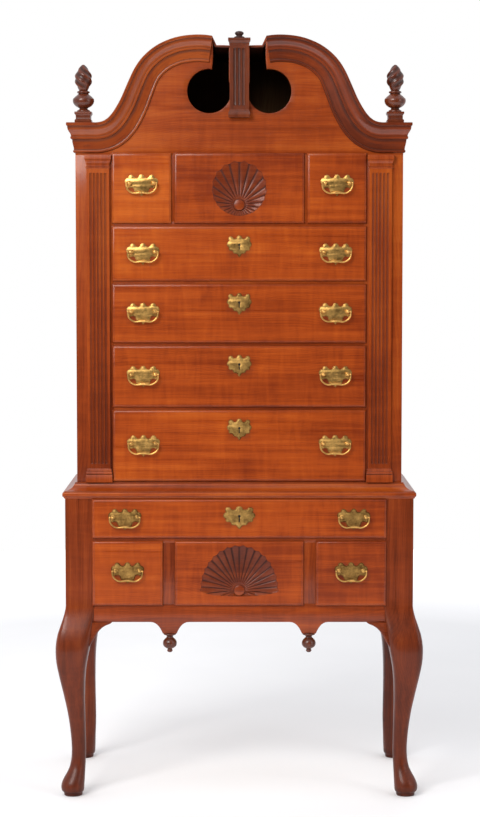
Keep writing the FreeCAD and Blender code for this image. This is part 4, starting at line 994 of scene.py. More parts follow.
pb = Build()
for sx in (1, -1):
    x0, x1 = (0.366, 0.430) if sx > 0 else (-0.430, -0.366)
    fluted_panel(x0, x1, 0.940, 1.788, YU - 0.009, YU, 5, 0.0065, 0.016, 0.0039, pb, darker_down=True)
    block(pb, x0, x1, YU - 0.009, YU, [(0.0050, .9005), (0.0056, .9012), (0.0056, .9215), (0.0048, .9225), (0.0030, .9232), (0.0044, .9250), (0.0050, .9275), (0.0044, .9300), (0.0026, .9315),
                                       (0.0020, .9322), (0.0026, .9335), (0.0030, .9350), (0.0024, .9370), (0.0008, .9385), (0.0004, .9400)])
    block(pb, x0, x1, YU - 0.009, YU, [(0.0004, 1.788), (0.0010, 1.7892), (0.0022, 1.7902), (0.0022, 1.7925), (0.0006, 1.7935), (0.0004, 1.7955), (0.0004, 1.8010), (0.0012, 1.8035), (0.0026, 1.8065),
                                       (0.0040, 1.8105), (0.0044, 1.8125), (0.0052, 1.8130), (0.0052, 1.8255), (0.0048, 1.8260)])
ob = pb.make("pilasters_fluted", [CASE], slot="cherry_dark", replaces=["pilasters"], angle=40)
bm = bmesh.new(); bm.from_mesh(ob.data); bmesh.ops.recalc_face_normals(bm, faces=list(bm.faces)); bm.to_mesh(ob.data); bm.free()

pl = Build()
fluted_panel(-0.027, 0.027, 1.953, 2.132, YU - 0.019, YU, 3, 0.0090, 0.014, 0.0048, pl)
block(pl, -0.027, 0.027, YU - 0.019, YU, [(0.0, 1.930), (0.0030, 1.9305), (0.0036, 1.9320), (0.0036, 1.9435), (0.0026, 1.9450), (0.0010, 1.9470), (0.0004, 1.9500), (0.0002, 1.953)])
block(pl, -0.027, 0.027, YU - 0.019, YU, [(0.0002, 2.132), (0.0016, 2.1332), (0.0016, 2.1352), (0.0008, 2.1360), (0.0018, 2.1385), (0.0034, 2.1415), (0.0040, 2.1435), (0.0044, 2.1440), (0.0044, 2.1502), (0.0038, 2.1510)])
for sx in (1, -1):
    block(pl, 0.438 * sx - 0.0205, 0.438 * sx + 0.0205, YU - 0.0175, YU + 0.0235, [(0.0, 1.916), (0.0028, 1.9162), (0.0032, 1.9175), (0.0032, 1.9225), (0.0018, 1.9238), (0.0004, 1.9248), (0.0, 1.9262),
          (0.0, 1.9345), (0.0006, 1.9362), (0.0020, 1.9385), (0.0034, 1.9400), (0.0036, 1.9412), (0.0036, 1.9448), (0.0030, 1.9460)])
ob = pl.make("plinths_moulded", [DARK], slot="cherry_dark", replaces=["plinths"], angle=40)
bm = bmesh.new(); bm.from_mesh(ob.data); bmesh.ops.recalc_face_normals(bm, faces=list(bm.faces)); bm.to_mesh(ob.data); bm.free()

# finials: turned urn and collar under a spiral flame
URN = [(0, 1946), (17.5, 1946), (18.4, 1946.8), (18.4, 1949.6), (16.8, 1951), (12.8, 1952.6), (11.4, 1954.6), (11.9, 1956.4), (15, 1958.2), (19.7, 1960.6), (24.6, 1964.6), (28.4, 1970),
       (30.1, 1976), (29.8, 1981), (28.7, 1983.6), (26.9, 1984.4), (26.4, 1985.4), (22.4, 1989.5), (17.2, 1993.6), (14.1, 1996.4), (13.9, 1997.6), (16.6, 1998.4), (17.9, 2000), (17.9, 2002), (16.6, 2003.6), (13, 2004.6), (11.9, 2006)]
FLAME = [(11.9, 2006), (14, 2009.5), (17.7, 2015), (21.3, 2021.5), (24, 2028.5), (25.3, 2036), (25, 2043), (23.1, 2050), (19.7, 2057), (15.5, 2064), (10.8, 2070), (6, 2075),
       (2.5, 2077.6), (0, 2078)]
fb = Build()
for sx in (1, -1):
    v, f, g = lathe([(r * MM, z * MM) for r, z in URN], (0.438 * sx, YU + 0.003), 40)
    fb.add(v, f, grain_pts=g, shade=[0.5 if (1.952 < q[2] < 1.9572 or 1.9955 < q[2] < 1.9982 or q[2] > 2.0035) else 0.12 for q in v], tone=-1.0)
    fine = smooth_curve(FLAME, 54)

    def twist(a, z, sx=sx):
        t = (z - 2.006) / 0.072
        wave = math.cos(4 * (a - sx * 2.6 * t * math.pi * 0.62))
        return 1.0 - 0.13 * (0.5 - 0.5 * wave) ** 0.8 * min(1.0, 6 * t) * (1.0 if t < 0.97 else 0.3)
    v, f, g = lathe([(max(0.0, r) * MM, z * MM) for r, z in fine], (0.438 * sx, YU + 0.003), 96, wobble=twist)
    rad = [math.hypot(q[0] - 0.438 * sx, q[1] - YU - 0.003) for q in v]
    full = np.repeat([max(1e-5, r * MM) for r, z in fine], 96)
    fb.add(v, f, grain_pts=g, shade=[min(1.0, 0.06 + max(0.0, (1 - a / c) * 5.0)) if c > 0.002 else 0.0 for a, c in zip(rad, full)], tone=-1.0)
KNOB = [(0, 2151), (13.6, 2151), (14.5, 2151.6), (14.5, 2153.4), (13, 2154.6), (9.2, 2155.6), (8.4, 2157), (8.8, 2158.6), (11.2, 2160.4), (12.5, 2162.8), (12.3, 2165.2), (10.6, 2167.4), (7.4, 2169.2), (3.8, 2169.9), (0, 2170)]
v, f, g = lathe([(r * MM, z * MM) for r, z in KNOB], (0.0, YU - 0.010), 32)
fb.add(v, f, grain_pts=g, shade=0.8)
ob = fb.make("finials_turned", [DARK], slot="cherry_dark", replaces=["turned_finials"], angle=50)
bm = bmesh.new(); bm.from_mesh(ob.data); bmesh.ops.recalc_face_normals(bm, faces=list(bm.faces)); bm.to_mesh(ob.data); bm.free()


# ---------------------------------------------------------------------- brasses
def joined(segments, per=7):
    pts = []
    for s in segments:
        c = smooth_curve(s, per) if len(s) > 2 else np.array(s, float)
        pts += [tuple(p) for p in c[:-1]]
    pts.append(tuple(segments[-1][-1]))
    return pts


BAT = joined([
    [(0, 30.0), (3.6, 29.2), (7.0, 26.2), (8.6, 21.8)],
    [(8.6, 21.8), (13.5, 19.6), (19.0, 21.6), (22.6, 26.4)],
    [(22.6, 26.4), (27.0, 29.0), (32.0, 28.6), (35.8, 25.0), (36.8, 20.4)],
    [(36.8, 20.4), (41.5, 19.6), (45.6, 15.4), (47.0, 9.6), (45.0, 4.2), (40.6, 1.6)],
    [(40.6, 1.6), (42.0, -3.2), (39.8, -7.6), (35.4, -9.2), (31.0, -7.2)],
    [(31.0, -7.2), (26.8, -6.6), (22.6, -9.4), (20.4, -14.6)],
    [(20.4, -14.6), (18.8, -19.4), (13.8, -22.4), (8.2, -21.8)],
    [(8.2, -21.8), (5.4, -23.6), (3.2, -27.2), (0, -31.0)],
])
KEYP = joined([
    [(0, 31.0), (3.6, 30.0), (6.6, 27.0), (8.0, 23.0)],
    [(8.0, 23.0), (12.4, 21.4), (17.2, 23.2), (20.0, 27.0)],
    [(20.0, 27.0), (25.0, 28.4), (29.6, 25.4), (31.0, 20.2), (28.8, 15.6)],
    [(28.8, 15.6), (32.6, 12.0), (34.8, 6.6), (33.4, 0.8), (29.4, -2.6)],
    [(29.4, -2.6), (30.0, -7.6), (26.6, -11.4), (21.6, -11.0)],
    [(21.6, -11.0), (18.6, -13.4), (17.2, -17.6), (13.0, -20.2), (8.4, -19.8)],
    [(8.4, -19.8), (5.6, -22.6), (3.2, -27.0), (0, -31.0)],
])


def both(half):
    return half + [(-x, z) for x, z in reversed(half[1:-1])]


def shrink(loop, by):
    p = np.array(loop, float)
    a, c = np.roll(p, 1, 0), np.roll(p, -1, 0)
    t = c - a
    t /= np.linalg.norm(t, axis=1)[:, None]
    n = np.stack([-t[:, 1], t[:, 0]], 1)
    area = np.sum(p[:, 0] * c[:, 1] - c[:, 0] * p[:, 1])
    if area < 0:
        n = -n
    return [tuple(q) for q in p + n * by]


def key_shape(s=1.0, grow=0.0):
    pts = [(-1.5 * s - grow, -10.5 * s - grow), (1.5 * s + grow, -10.5 * s - grow), (1.5 * s + grow, 0.8 * s)]
    for k in range(17):
        a = math.radians(-62 + 304 * k / 16.0)
        pts.append(((3.4 * s + grow) * math.cos(a), 4.0 * s + (3.4 * s + grow) * math.sin(a)))
    pts.append((-1.5 * s - grow, 0.8 * s))
    return pts


def plate_meshes(outline, holes=(), sx=1.0, sz=1.0):
    """A cast plate: base with eased edge and a slightly raised, bordered field."""
    loop = both([(x * sx, z * sz) for x, z in outline])
    out = []
    base = [[(x * MM, z * MM) for x, z in loop]] + [[(x * MM, z * MM) for x, z in h] for h in holes]
    out.append(flat_piece(base, -0.0101, -0.0090, 0.00035, 2))
    field = shrink(loop, 2.4)
    inner = [[(x * MM, z * MM) for x, z in field]] + [[(x * MM, z * MM) for x, z in h] for h in holes]
    out.append(flat_piece(inner, -0.01055, -0.01005, 0.00018, 2))
    return out


PULL_PLATE = plate_meshes(BAT)
KEY_PLATE = plate_meshes(KEYP, [key_shape()])
KEY_PLATE_BIG = plate_meshes(KEYP, [key_shape(1.15)], 1.3, 1.06)
# near-black sheet in the keyhole: painted shade standing in for the hole's depth
KEYHOLE_SHADE_SHEET = flat_piece([[(x * MM, z * MM) for x, z in key_shape(1.1, 0.3)]], -0.00925, -0.0089, 0.00005, 1)
POST = [(0.0, -27.4), (1.6, -27.2), (3.2, -26.4), (4.4, -25.2), (5.2, -23.6), (5.4, -22.0), (5.2, -20.4), (4.4, -18.8), (3.6, -17.8), (3.3, -17.0), (3.2, -15.6), (3.4, -14.4), (4.2, -13.4), (5.2, -12.9),
        (5.9, -12.5), (6.2, -11.9), (6.0, -11.0), (5.6, -10.55), (5.4, -10.3)]
SHANK = [(0.0, 19.0), (1.6, 19.0), (2.0, 18.6), (2.0, 13.0), (0.0, 13.0)]
HANG_PTS = [(-42.6, 1.2), (-42.6, -3), (-42.3, -9), (-40.6, -15.2), (-36.6, -20.8), (-31.0, -25.2), (-25.0, -28.0), (-18.5, -29.0), (-12.0, -28.2), (-6.5, -27.4), (0, -27.2)]
HANG_PTS = HANG_PTS + [(-x, z) for x, z in reversed(HANG_PTS[:-1])]
hp = smooth_curve(HANG_PTS, 61)
hr = []
for x, z in hp:
    t = abs(x) / 42.6
    r = 2.2 + 0.75 * math.exp(-(x / 15.0) ** 2)
    if 4.6 < abs(x) < 7.4:
        r += 0.45 * math.cos((abs(x) - 6.0) / 1.4 * math.pi / 2)
    if z > -2:
        r = 2.45
    hr.append(r * MM)
BAIL_V, BAIL_F = tube([(x * MM, 0, z * MM) for x, z in hp], hr, 16)
KN = lathe([(0.0, -2.75 * MM), (1.5 * MM, -2.3 * MM), (2.45 * MM, -1.2 * MM), (2.75 * MM, 0), (2.45 * MM, 1.2 * MM), (1.5 * MM, 2.3 * MM), (0.0, 2.75 * MM)], (0, 0), 16)


def place(v, x, y, z):
    return np.asarray(v, float) + np.array([x, y, z])


# brass_row_shade darkens a drawer's brasses: painted shade, more for the rows lower down
def pull(name, build, px, cy, pz, body, tag, brass_row_shade):
    jit = RNG.rand(4)
    for k, (v, f) in enumerate(PULL_PLATE):
        build.add(place(v, px, cy, pz), f, shade=[brass_row_shade + (0.28 if k == 0 and q[1] < -0.0098 else 0.0) for q in v])
    for s in (1, -1):
        v, f, g = lathe([(r * MM, y * MM) for r, y in POST], (0, 0), 22, "y")
        build.add(place(v, px + s * 0.034, cy, pz + 0.006), f, shade=[0.55 if (-0.0172 < q[1] < -0.0138 or q[1] > -0.0110) else brass_row_shade * 0.6 for q in v])
        v, f, g = lathe([(r * MM, y * MM) for r, y in reversed(SHANK)], (0, 0), 12, "y")
        build.add(place(v, px + s * 0.034, cy, pz + 0.006), f, shade=0.3)
        ang = [math.radians(60 * k + 25 + 40 * jit[0]) for k in range(6)]
        hexv = [(5.2 * MM * math.cos(a), y, 5.2 * MM * math.sin(a)) for y in (0.014, 0.0145, 0.0169, 0.0174) for a in ang]
        hexv = [(x * (0.93 if i // 6 in (0, 3) else 1), y, z * (0.93 if i // 6 in (0, 3) else 1)) for i, (x, y, z) in enumerate(hexv)]
        hf = grid_faces(4, 6, wrap_v=True, flip=False) + [[5, 4, 3, 2, 1, 0][::-1], [18, 19, 20, 21, 22, 23][::-1]]
        build.add(place(hexv, px + s * 0.034, cy, pz + 0.006), hf, shade=0.35, smooth=False)
    b = Build()
    cyl_y, cyl_z = cy - 0.022, pz + 0.006
    b.add(place(BAIL_V, px, cyl_y, cyl_z), BAIL_F, shade=brass_row_shade * 0.6)
    for s in (1, -1):
        b.add(place(KN[0], px + s * 0.0426, cyl_y, cyl_z), KN[1], shade=0.1)
        pv, pf = tube([(px + s * 0.0426, cyl_y, cyl_z), (px + s * 0.037, cyl_y, cyl_z), (px + s * 0.031, cyl_y, cyl_z)], [0.0015] * 3, 12)
        b.add(pv, pf, shade=0.2)
    bn = "%s_bail%s" % (name, tag)
    fix(b.make(bn + "_cast", [BRASS], body=bn, slot="brass", replaces=[bn], angle=45))


def fix(ob):
    bm = bmesh.new()
    bm.from_mesh(ob.data)
    bmesh.ops.recalc_face_normals(bm, faces=list(bm.faces))
    bm.to_mesh(ob.data)
    bm.free()
    return ob


# ---------------------------------------------------------------------- drawers
def shell_round(x, z):
    """Round shell for the top drawer: lobes spread from a hub low in the circle."""
    cz, r0, hz = 1.732, 0.078, 1.732 - 0.046
    dx, dz = x, z - hz
    rho = math.hypot(dx, dz)
    th = math.atan2(dz, dx)
    off = hz - cz
    bdot = dz / (rho + 1e-9) * off
    edge = -bdot + math.sqrt(max(0.0, r0 * r0 - off * off + bdot * bdot))
    n = 26
    ph = (th / (2 * math.pi) * n + 0.5) % 1.0
    edge *= 1.0 - 0.035 * abs(math.cos(math.pi * ph)) ** 1.4
    return rho, th, edge, ph, n


FAN_LOW = 0.595


def shell_wide(x, z):
    """Wide fan for the lower drawer."""
    hz = FAN_LOW
    dx, dz = x, z - hz
    rho = math.hypot(dx, dz)
    th = math.atan2(dz, dx)
    a, c = 0.112, 0.130
    if dz >= 0:
        edge = 1.0 / math.sqrt((math.cos(th) / a) ** 2 + (math.sin(th) / c) ** 2 + 1e-12)
    else:
        edge = 0.112 * max(0.0, 1 - (-dz) / 0.014) if abs(dx) > 0 else 0.0
        edge = 1.0 / math.sqrt((math.cos(th) / a) ** 2 + (math.sin(th) / 0.017) ** 2 + 1e-12)
    n = 34
    ph = (th / (2 * math.pi) * n + 0.5) % 1.0
    edge *= 1.0 - 0.03 * abs(math.cos(math.pi * ph)) ** 1.4
    return rho, th, edge, ph, n


def carve(fn, x, z, deep=0.0085, hub=0.017):
    """Depth of the carving below the drawer face, and how shaded it is."""
    rho, th, edge, ph, n = fn(x, z)
    if rho >= edge or edge <= 0:
        return 0.0, 0.0
    t = rho / edge
    wall = min(1.0, (edge - rho) / 0.0022)
    dish = deep * (0.34 + 0.66 * math.sin(math.pi * min(1.0, t) ** 1.15)) * wall
    width = rho * 2 * math.pi / n
    lobe = min(0.0030, width * 0.42) * math.sqrt(max(0.0, 1 - (2 * ph - 1) ** 2)) * min(1.0, (rho - hub) / 0.006 if rho > hub else 0.0)
    valley = max(0.0, abs(2 * ph - 1) - 0.62) / 0.38
    # painted shade in the carving: in the lobes' valleys, at the rim and across the dish
    shade = 0.50 * valley * min(1.0, max(0.0, rho - hub) / 0.01) + 0.30 * (1 - wall) + 0.46 + 0.16 * math.sin(math.pi * t)
    if fn is shell_round:
        shade -= 0.08
    # the wide fan darker towards its top: painted shade in the upper part of the hollow, which faces down away from the
    # light
    if fn is shell_wide:
        shade += float(np.interp(z, [0.60, 0.65, 0.70, 0.725], [-0.06, 0.04, 0.16, 0.24]))
    d = dish - lobe
    if rho < hub:
        u = rho / hub
        d = min(d, deep * 0.55 - 0.0042 * math.sqrt(max(0.0, 1 - u * u)) + (0.003 if u > 0.9 else 0.0))
        # painted shade in the ring round the hub
        shade = 0.8 if u > 0.86 else 0.30
    return max(0.0, d), min(1.0, shade)


LIP_EDGE = [(0.0, -0.4), (0.0, -3.1), (0.35, -3.6), (0.9, -3.75), (1.3, -4.6), (2.0, -5.9), (3.0, -7.0), (4.2, -7.75), (5.4, -8.1), (6.1, -8.2), (6.35, -8.35), (6.5, -8.85), (6.9, -9.0)]


def drawer_front(build, x0, x1, z0, z1, cy, marks, fan=None, tone=0.0):
    """Lipped front with a thumbnail edge; marks are (x, z, half width, half height)
    of the plates, round which old polish has gathered."""
    verts, sh, gp = [], [], []
    rs = recess_shade([(y, d) for d, y in LIP_EDGE])
    for i, (d, y) in enumerate(LIP_EDGE):
        e = d * MM
        for (x, z) in ((x0 + e, z0 + e), (x1 - e, z0 + e), (x1 - e, z1 - e), (x0 + e, z1 - e)):
            verts.append((x, cy + y * MM, z))
            gp.append((x, z, y * MM))
            # painted shade in the thumbnail edge's two hollows
            sh.append(0.5 if i in (2, 3) else (0.45 if i in (9, 10) else 0.08))
    faces = grid_faces(len(LIP_EDGE), 4, wrap_v=True, flip=True)
    faces.append([0, 1, 2, 3])
    e = (LIP_EDGE[-1][0] + 0.5) * MM
    a0, a1, c0, c1 = x0 + e, x1 - e, z0 + e, z1 - e
    step = 0.0042
    nx, nz = max(8, int((a1 - a0) / step)), max(6, int((c1 - c0) / step))
    xs, zs = np.linspace(a0, a1, nx), np.linspace(c0, c1, nz)
    if fan:
        lo, hi = (-0.084, 0.084) if fan is shell_round else (-0.118, 0.118)
        xs = np.unique(np.r_[np.linspace(a0, lo, 10), np.linspace(lo, hi, 250 if fan is shell_round else 330), np.linspace(hi, a1, 10)])
        zlo, zhi = (1.650, 1.8135) if fan is shell_round else (0.5745, 0.7285)
        zs = np.unique(np.r_[np.linspace(c0, zlo, 4), np.linspace(zlo, zhi, 230), np.linspace(zhi, c1, 4)])
    rim = len(verts) - 4
    o = len(verts)
    nx, nz = len(xs), len(zs)
    for z in zs:
        for x in xs:
            d, s = carve(fan, x, z) if fan else (0.0, 0.0)
            for (mx, mz, hw, hh) in marks:
                u = math.hypot(max(0.0, abs(x - mx) - hw * 0.55) / (hw * 0.5), max(0.0, abs(z - mz) - hh * 0.45) / (hh * 0.6))
                s = max(s, 0.34 * max(0.0, 1.22 - u) if u < 1.22 else 0.0)
            verts.append((x, cy - 0.009 + d, z))
            gp.append((x, z, -0.009 + d))
            sh.append(min(1.0, s))
    faces += [[o + i for i in q] for q in grid_faces(nz, nx, flip=True)]
    faces.append([rim, rim + 1] + [o + i for i in range(nx - 1, -1, -1)])
    faces.append([rim + 1, rim + 2] + [o + j * nx + nx - 1 for j in range(nz - 1, -1, -1)])
    faces.append([rim + 2, rim + 3] + [o + (nz - 1) * nx + i for i in range(nx)])
    faces.append([rim + 3, rim] + [o + j * nx for j in range(nz)])
    # tone falls from left to right across the front: painted light from the left
    build.add(verts, faces, grain_pts=gp, shade=sh, seed=SEED, tone=[tone - 1.7 * q[0] for q in verts])


SEED = (0.5, 0.5, 0.5)


def drawer(name, x, z, cy, length, pulls, fan=None, key=None, big_key=False, tone=0.0, brass_row_shade=0.0):
    global SEED
    SEED = tuple(RNG.rand(3))
    x0, x1 = x[0] * MM, x[1] * MM
    z0, z1 = z[0] * MM, z[1] * MM
    marks = [(px * MM, pz * MM, 0.047, 0.031) for px, pz in pulls]
    if key:
        marks.append((key[0] * MM, key[1] * MM, 0.046 if big_key else 0.035, 0.031))
    w = Build()
    o = 5.5 * MM
    drawer_front(w, x0 - o, x1 + o, z0 - o, z1 + o, cy, marks, fan, tone)
    a0, a1 = x0 + 1.5 * MM, x1 - 1.5 * MM
    b0, b1 = z0 + 0.4 * MM, z1 - 3 * MM
    side_top = z1 - 9 * MM
    ds = 11 * MM
    # the board behind the lip, with pins left standing between the tails
    v, f = soft_box(a0 + ds, a1 - ds, cy - 0.0004, cy + 0.014, b0, b1, 0.0006)
    w.add(v, f, "x", seed=SEED)
    v, f = soft_box(a0, a0 + ds, cy - 0.0004, cy + 0.0045, b0, b1, 0.0003)
    w.add(v, f, "x", seed=SEED)
    v, f = soft_box(a1 - ds, a1, cy - 0.0004, cy + 0.0045, b0, b1, 0.0003)
    w.add(v, f, "x", seed=SEED)
    height = side_top - b0
    tails = max(2, int(round(height / 0.040)))
    pitch = height / tails
    wide, slim = pitch * 0.42, pitch * 0.31      # half height of a tail at its end and its neck
    y_end, y_neck = cy + 0.0045, cy + 0.014
    yb0, yb1 = cy + length - 0.011, cy + length
    for side in (0, 1):
        xa, xb = (a0, a0 + ds) if side == 0 else (a1 - ds, a1)
        loop = [(yb1, b0), (yb1, side_top)][::-1]
        pts = []
        for k in range(tails):
            zc = b0 + pitch * (k + 0.5)
            pts += [(y_neck, zc - slim), (y_end, zc - wide), (y_end, zc + wide), (y_neck, zc + slim)]
        outline = [(y_neck, b0)] + pts + [(y_neck, side_top)] + loop
        outline = [(a * 1.0, c * 1.0) for a, c in outline]
        v, f = flat_piece([outline], -ds / 2, ds / 2, 0.00025, 1)
        v = np.asarray(v)
        vv = np.stack([-v[:, 1] + (xa + xb) / 2, v[:, 0], v[:, 2]], 1)
        w.add(vv, f, "y", mat=1, shade=0.04)
        # pins of the front between the tails
        for k in range(tails + 1):
            zc = b0 + pitch * k
            lo_neck, hi_neck = zc - (pitch / 2 - slim), zc + (pitch / 2 - slim)
            lo_end, hi_end = zc - (pitch / 2 - wide), zc + (pitch / 2 - wide)
            if k == 0:
                lo_neck = lo_end = b0
            if k == tails:
                hi_neck = hi_end = side_top
            quad = [(y_end, lo_end), (y_neck, lo_neck), (y_neck, hi_neck), (y_end, hi_end)]
            if hi_neck - lo_neck < 0.0008:
                continue
            v, f = flat_piece([[(a, c) for a, c in quad]], -ds / 2, ds / 2, 0.0001, 1)
            v = np.asarray(v)
            vv = np.stack([-v[:, 1] + (xa + xb) / 2, v[:, 0], v[:, 2]], 1)
            w.add(vv, f, "x", seed=SEED, shade=0.1)
    v, f = soft_box(a0 + ds, a1 - ds, cy + 0.014, yb1, b0 + 0.005, b0 + 0.013, 0.0006)
    w.add(v, f, "x", mat=1)
    v, f = soft_box(a0 + ds, a1 - ds, yb0, yb1, b0 + 0.013, side_top, 0.0007)
    w.add(v, f, "x", mat=1)
    fix(w.make(name + "_joined", [FRONT, PINE], body=name, slot="cherry_front", replaces=[name], angle=33))
    if pulls or key:
        b = Build()
        for px, pz in pulls:
            tag = "" if len(pulls) == 1 else ("_left" if px < 0 else "_right")
            pull(name, b, px * MM, cy, pz * MM, name, tag, brass_row_shade)
        if key:
            for k, (v, f) in enumerate(KEY_PLATE_BIG if big_key else KEY_PLATE):
                b.add(place(v, key[0] * MM, cy, key[1] * MM), f, shade=[(0.14 if big_key else 0.32) + brass_row_shade * 0.5 + (0.28 if k == 0 and q[1] < -0.0098 else 0.0) for q in v])
            v, f = soft_box(key[0] * MM - 0.027, key[0] * MM + 0.027, cy + 0.014, cy + 0.023, key[1] * MM - 0.020, key[1] * MM + 0.018, 0.0008)
            b.add(v, f, mat=1)
            b.add(place(KEYHOLE_SHADE_SHEET[0], key[0] * MM, cy, key[1] * MM), KEYHOLE_SHADE_SHEET[1], mat=2)
        fix(b.make(name + "_brass_set", [BRASS, IRON, KEYHOLE_SHADE], body=name, slot="brass", replaces=[name + "_brasses"], angle=38))


# near-black material for the keyhole sheet: painted shade
KEYHOLE_SHADE, _vt, _vb = new_mat("keyhole_painted_shade")
_n2 = noise(_vt, N(_vt, "ShaderNodeTexCoord").outputs["Object"], 300.0, 2.0, 0.5)
L(_vt, ramp(_vt, _n2, [(0.3, (0.004, 0.003, 0.002)), (0.7, (0.012, 0.008, 0.006))]), _vb.inputs["Base Color"])
_vb.inputs["Roughness"].default_value = 0.9

TOPZ, R2, R3, R4, R5 = (1639, 1826), (1476.5, 1621), (1302, 1458.5), (1119.5, 1284), (908, 1101.5)
# top left drawer toned lighter and the brasses darker row by row downwards: painted light from the upper left and
# painted shade lower down
drawer("upper_drawer_top_left", (-354, -196.5), TOPZ, YU, 0.400, [(-275.25, 1741)], tone=1.4, brass_row_shade=0.06)
drawer("upper_drawer_top_fan", (-178.5, 178.5), TOPZ, YU, 0.400, [], fan=shell_round, tone=-2.7)
drawer("upper_drawer_top_right", (196.5, 354), TOPZ, YU, 0.400, [(275.25, 1741)], tone=-0.3, brass_row_shade=0.12)
drawer("upper_drawer_second", (-354, 354), R2, YU, 0.400, [(-272, 1548), (272, 1548)], key=(0, 1569), tone=-0.4, brass_row_shade=0.16)
drawer("upper_drawer_third", (-354, 354), R3, YU, 0.400, [(-272, 1380), (272, 1380)], key=(0, 1407), tone=-0.8, brass_row_shade=0.20)
drawer("upper_drawer_fourth", (-354, 354), R4, YU, 0.400, [(-272, 1202), (272, 1202)], key=(0, 1232), tone=-0.8, brass_row_shade=0.24)
drawer("upper_drawer_bottom", (-354, 354), R5, YU, 0.400, [(-272, 1005), (272, 1005)], key=(0, 1051), tone=-0.4, brass_row_shade=0.30)
drawer("lower_drawer_long", (-412, 412), (749, 850), YF, 0.432, [(-324, 799), (324, 799)], key=(0, 803), big_key=True, tone=-0.2, brass_row_shade=0.52)
drawer("lower_drawer_left", (-412, -222), (556, 731), YF, 0.432, [(-317, 646)], brass_row_shade=0.55)
drawer("lower_drawer_fan", (-178, 178), (556, 731), YF, 0.432, [], fan=shell_wide, tone=-1.3)
drawer("lower_drawer_right", (222, 412), (556, 731), YF, 0.432, [(317, 646)], tone=-0.2, brass_row_shade=0.55)

# ------------------------------------------------------------- floor and light
fm, fnt, fbs = new_mat("studio_floor")
ftc = N(fnt, "ShaderNodeTexCoord")
fn = noise(fnt, ftc.outputs["Object"], 2.0, 3.0, 0.5)
L(fnt, ramp(fnt, fn, [(0.2, (0.86, 0.86, 0.87)), (0.8, (0.89, 0.89, 0.90))]), fbs.inputs["Base Color"])
fbs.inputs["Roughness"].default_value = 0.6
fbs.inputs["Specular IOR Level"].default_value = 0.2
# the floor glows: painted light, a faint pool under and in front of the highboy that lifts its shadow there, rising
# towards the rim so the far floor and the end of the shadow fade to white
fbs.inputs["Emission Color"].default_value = (1, 1, 1, 1)
fsep = N(fnt, "ShaderNodeSeparateXYZ")
L(fnt, ftc.outputs["Object"], fsep.inputs[0])
fx = math_node(fnt, "MULTIPLY", fsep.outputs[0], fsep.outputs[0])
fy = math_node(fnt, "SUBTRACT", fsep.outputs[1], 1.0)
fr = math_node(fnt, "SQRT", math_node(fnt, "ADD", fx, math_node(fnt, "MULTIPLY", fy, fy)))
fy2 = math_node(fnt, "ADD", fsep.outputs[1], 0.05)
fx2 = math_node(fnt, "MULTIPLY", fx, 0.55)
fr2 = math_node(fnt, "SQRT", math_node(fnt, "ADD", fx2, math_node(fnt, "MULTIPLY", fy2, fy2)))
glow = ramp(fnt, fr2, [(0.12, (0.10, 0.10, 0.10)), (0.55, (0, 0, 0))], "EASE")
far = ramp(fnt, math_node(fnt, "MULTIPLY", fr, 0.25), [(0.45, (0.02, 0.02, 0.02)), (0.90, (0.5, 0.5, 0.5))])
L(fnt, mix_rgb(fnt, "ADD", 1.0, far, glow), fbs.inputs["Emission Strength"])


def floor():
    """Round sheet of pale paper that the highboy stands on."""
    verts, rings, seg = [(0.0, 1.0, -0.0004)], [0.6, 1.4, 2.2, 3.0, 3.9], 96
    for r in rings:
        verts += [(r * math.cos(2 * math.pi * k / seg), r * math.sin(2 * math.pi * k / seg) + 1.0, -0.0004) for k in range(seg)]
    faces = [[0, 1 + k, 1 + (k + 1) % seg] for k in range(seg)]
    for i in range(len(rings) - 1):
        o, q = 1 + i * seg, 1 + (i + 1) * seg
        faces += [[o + k, q + k, q + (k + 1) % seg, o + (k + 1) % seg] for k in range(seg)]
    me = bpy.data.meshes.new("studio_floor")
    me.from_pydata(verts, [], faces)
    me.materials.append(fm)
    ob = bpy.data.objects.new("studio_floor", me)
    bpy.context.scene.collection.objects.link(ob)
    ob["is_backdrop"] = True
    return ob


floor()


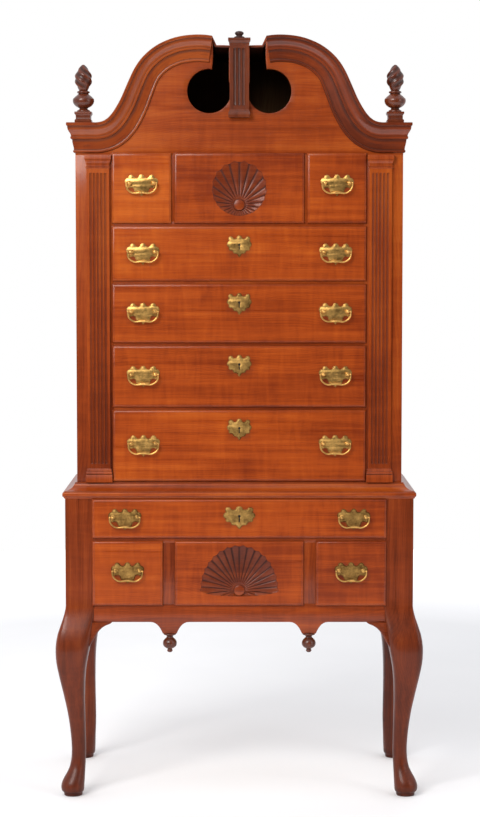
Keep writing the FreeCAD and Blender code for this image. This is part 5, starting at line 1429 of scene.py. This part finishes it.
def area(name, loc, target, size, power, color=(1, 1, 1)):
    li = bpy.data.lights.new(name, "AREA")
    li.shape = "RECTANGLE"
    li.size, li.size_y = size
    li.energy = power
    li.color = color
    ob = bpy.data.objects.new(name, li)
    ob.location = loc
    ob.rotation_euler = (Vector(target) - Vector(loc)).to_track_quat("-Z", "Y").to_euler()
    bpy.context.scene.collection.objects.link(ob)
    return ob


area("key_light", (-2.4, -4.5, 3.8), (0, 0, 1.3), (2.8, 2.4), 262, (1.0, 0.985, 0.96))
area("fill_light", (3.8, -2.9, 2.0), (0, 0, 1.0), (1.6, 2.4), 30, (0.98, 0.99, 1.0))

# white studio all round, with the unlit end of the room in front of the highboy
world = bpy.data.worlds.new("studio")
bpy.context.scene.world = world
world.use_nodes = True
wt = world.node_tree
for n in list(wt.nodes):
    wt.nodes.remove(n)
wo = wt.nodes.new("ShaderNodeOutputWorld")
wbg = wt.nodes.new("ShaderNodeBackground")
wtc = wt.nodes.new("ShaderNodeTexCoord")
wsep = wt.nodes.new("ShaderNodeSeparateXYZ")
wt.links.new(wtc.outputs["Generated"], wsep.inputs[0])
toward = math_node(wt, "MULTIPLY", wsep.outputs[1], -1.0)
lit = ramp(wt, toward, [(0.40, (0.78, 0.79, 0.81)), (0.84, (0.07, 0.07, 0.075))])
above = ramp(wt, wsep.outputs[2], [(0.10, (0.0, 0.0, 0.0)), (1.0, (0.34, 0.34, 0.35))])
lit = mix_rgb(wt, "ADD", 1.0, lit, above)
wlp = wt.nodes.new("ShaderNodeLightPath")
wcol = mix_rgb(wt, "MIX", wlp.outputs["Is Camera Ray"], lit, (1.0, 1.0, 1.0))
wt.links.new(wcol, wbg.inputs[0])
wbg.inputs[1].default_value = 1.0
wt.links.new(wbg.outputs[0], wo.inputs[0])
bpy.context.scene.view_settings.view_transform = "Standard"
bpy.context.scene.view_settings.look = "None"

# ----------------------------------------------------------------------- camera
cam = bpy.data.cameras.new("camera")
cam_ob = bpy.data.objects.new("camera", cam)
bpy.context.scene.collection.objects.link(cam_ob)
cam.sensor_fit = "AUTO"
cam.sensor_width = 36.0
cam.lens = 93.86
cam_ob.location = (0.002, YF - 6.0, 1.5591)
cam_ob.rotation_euler = (math.radians(90.0 - 4.256), 0, 0)
cam.clip_end = 60
bpy.context.scene.camera = cam_ob

low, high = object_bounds()
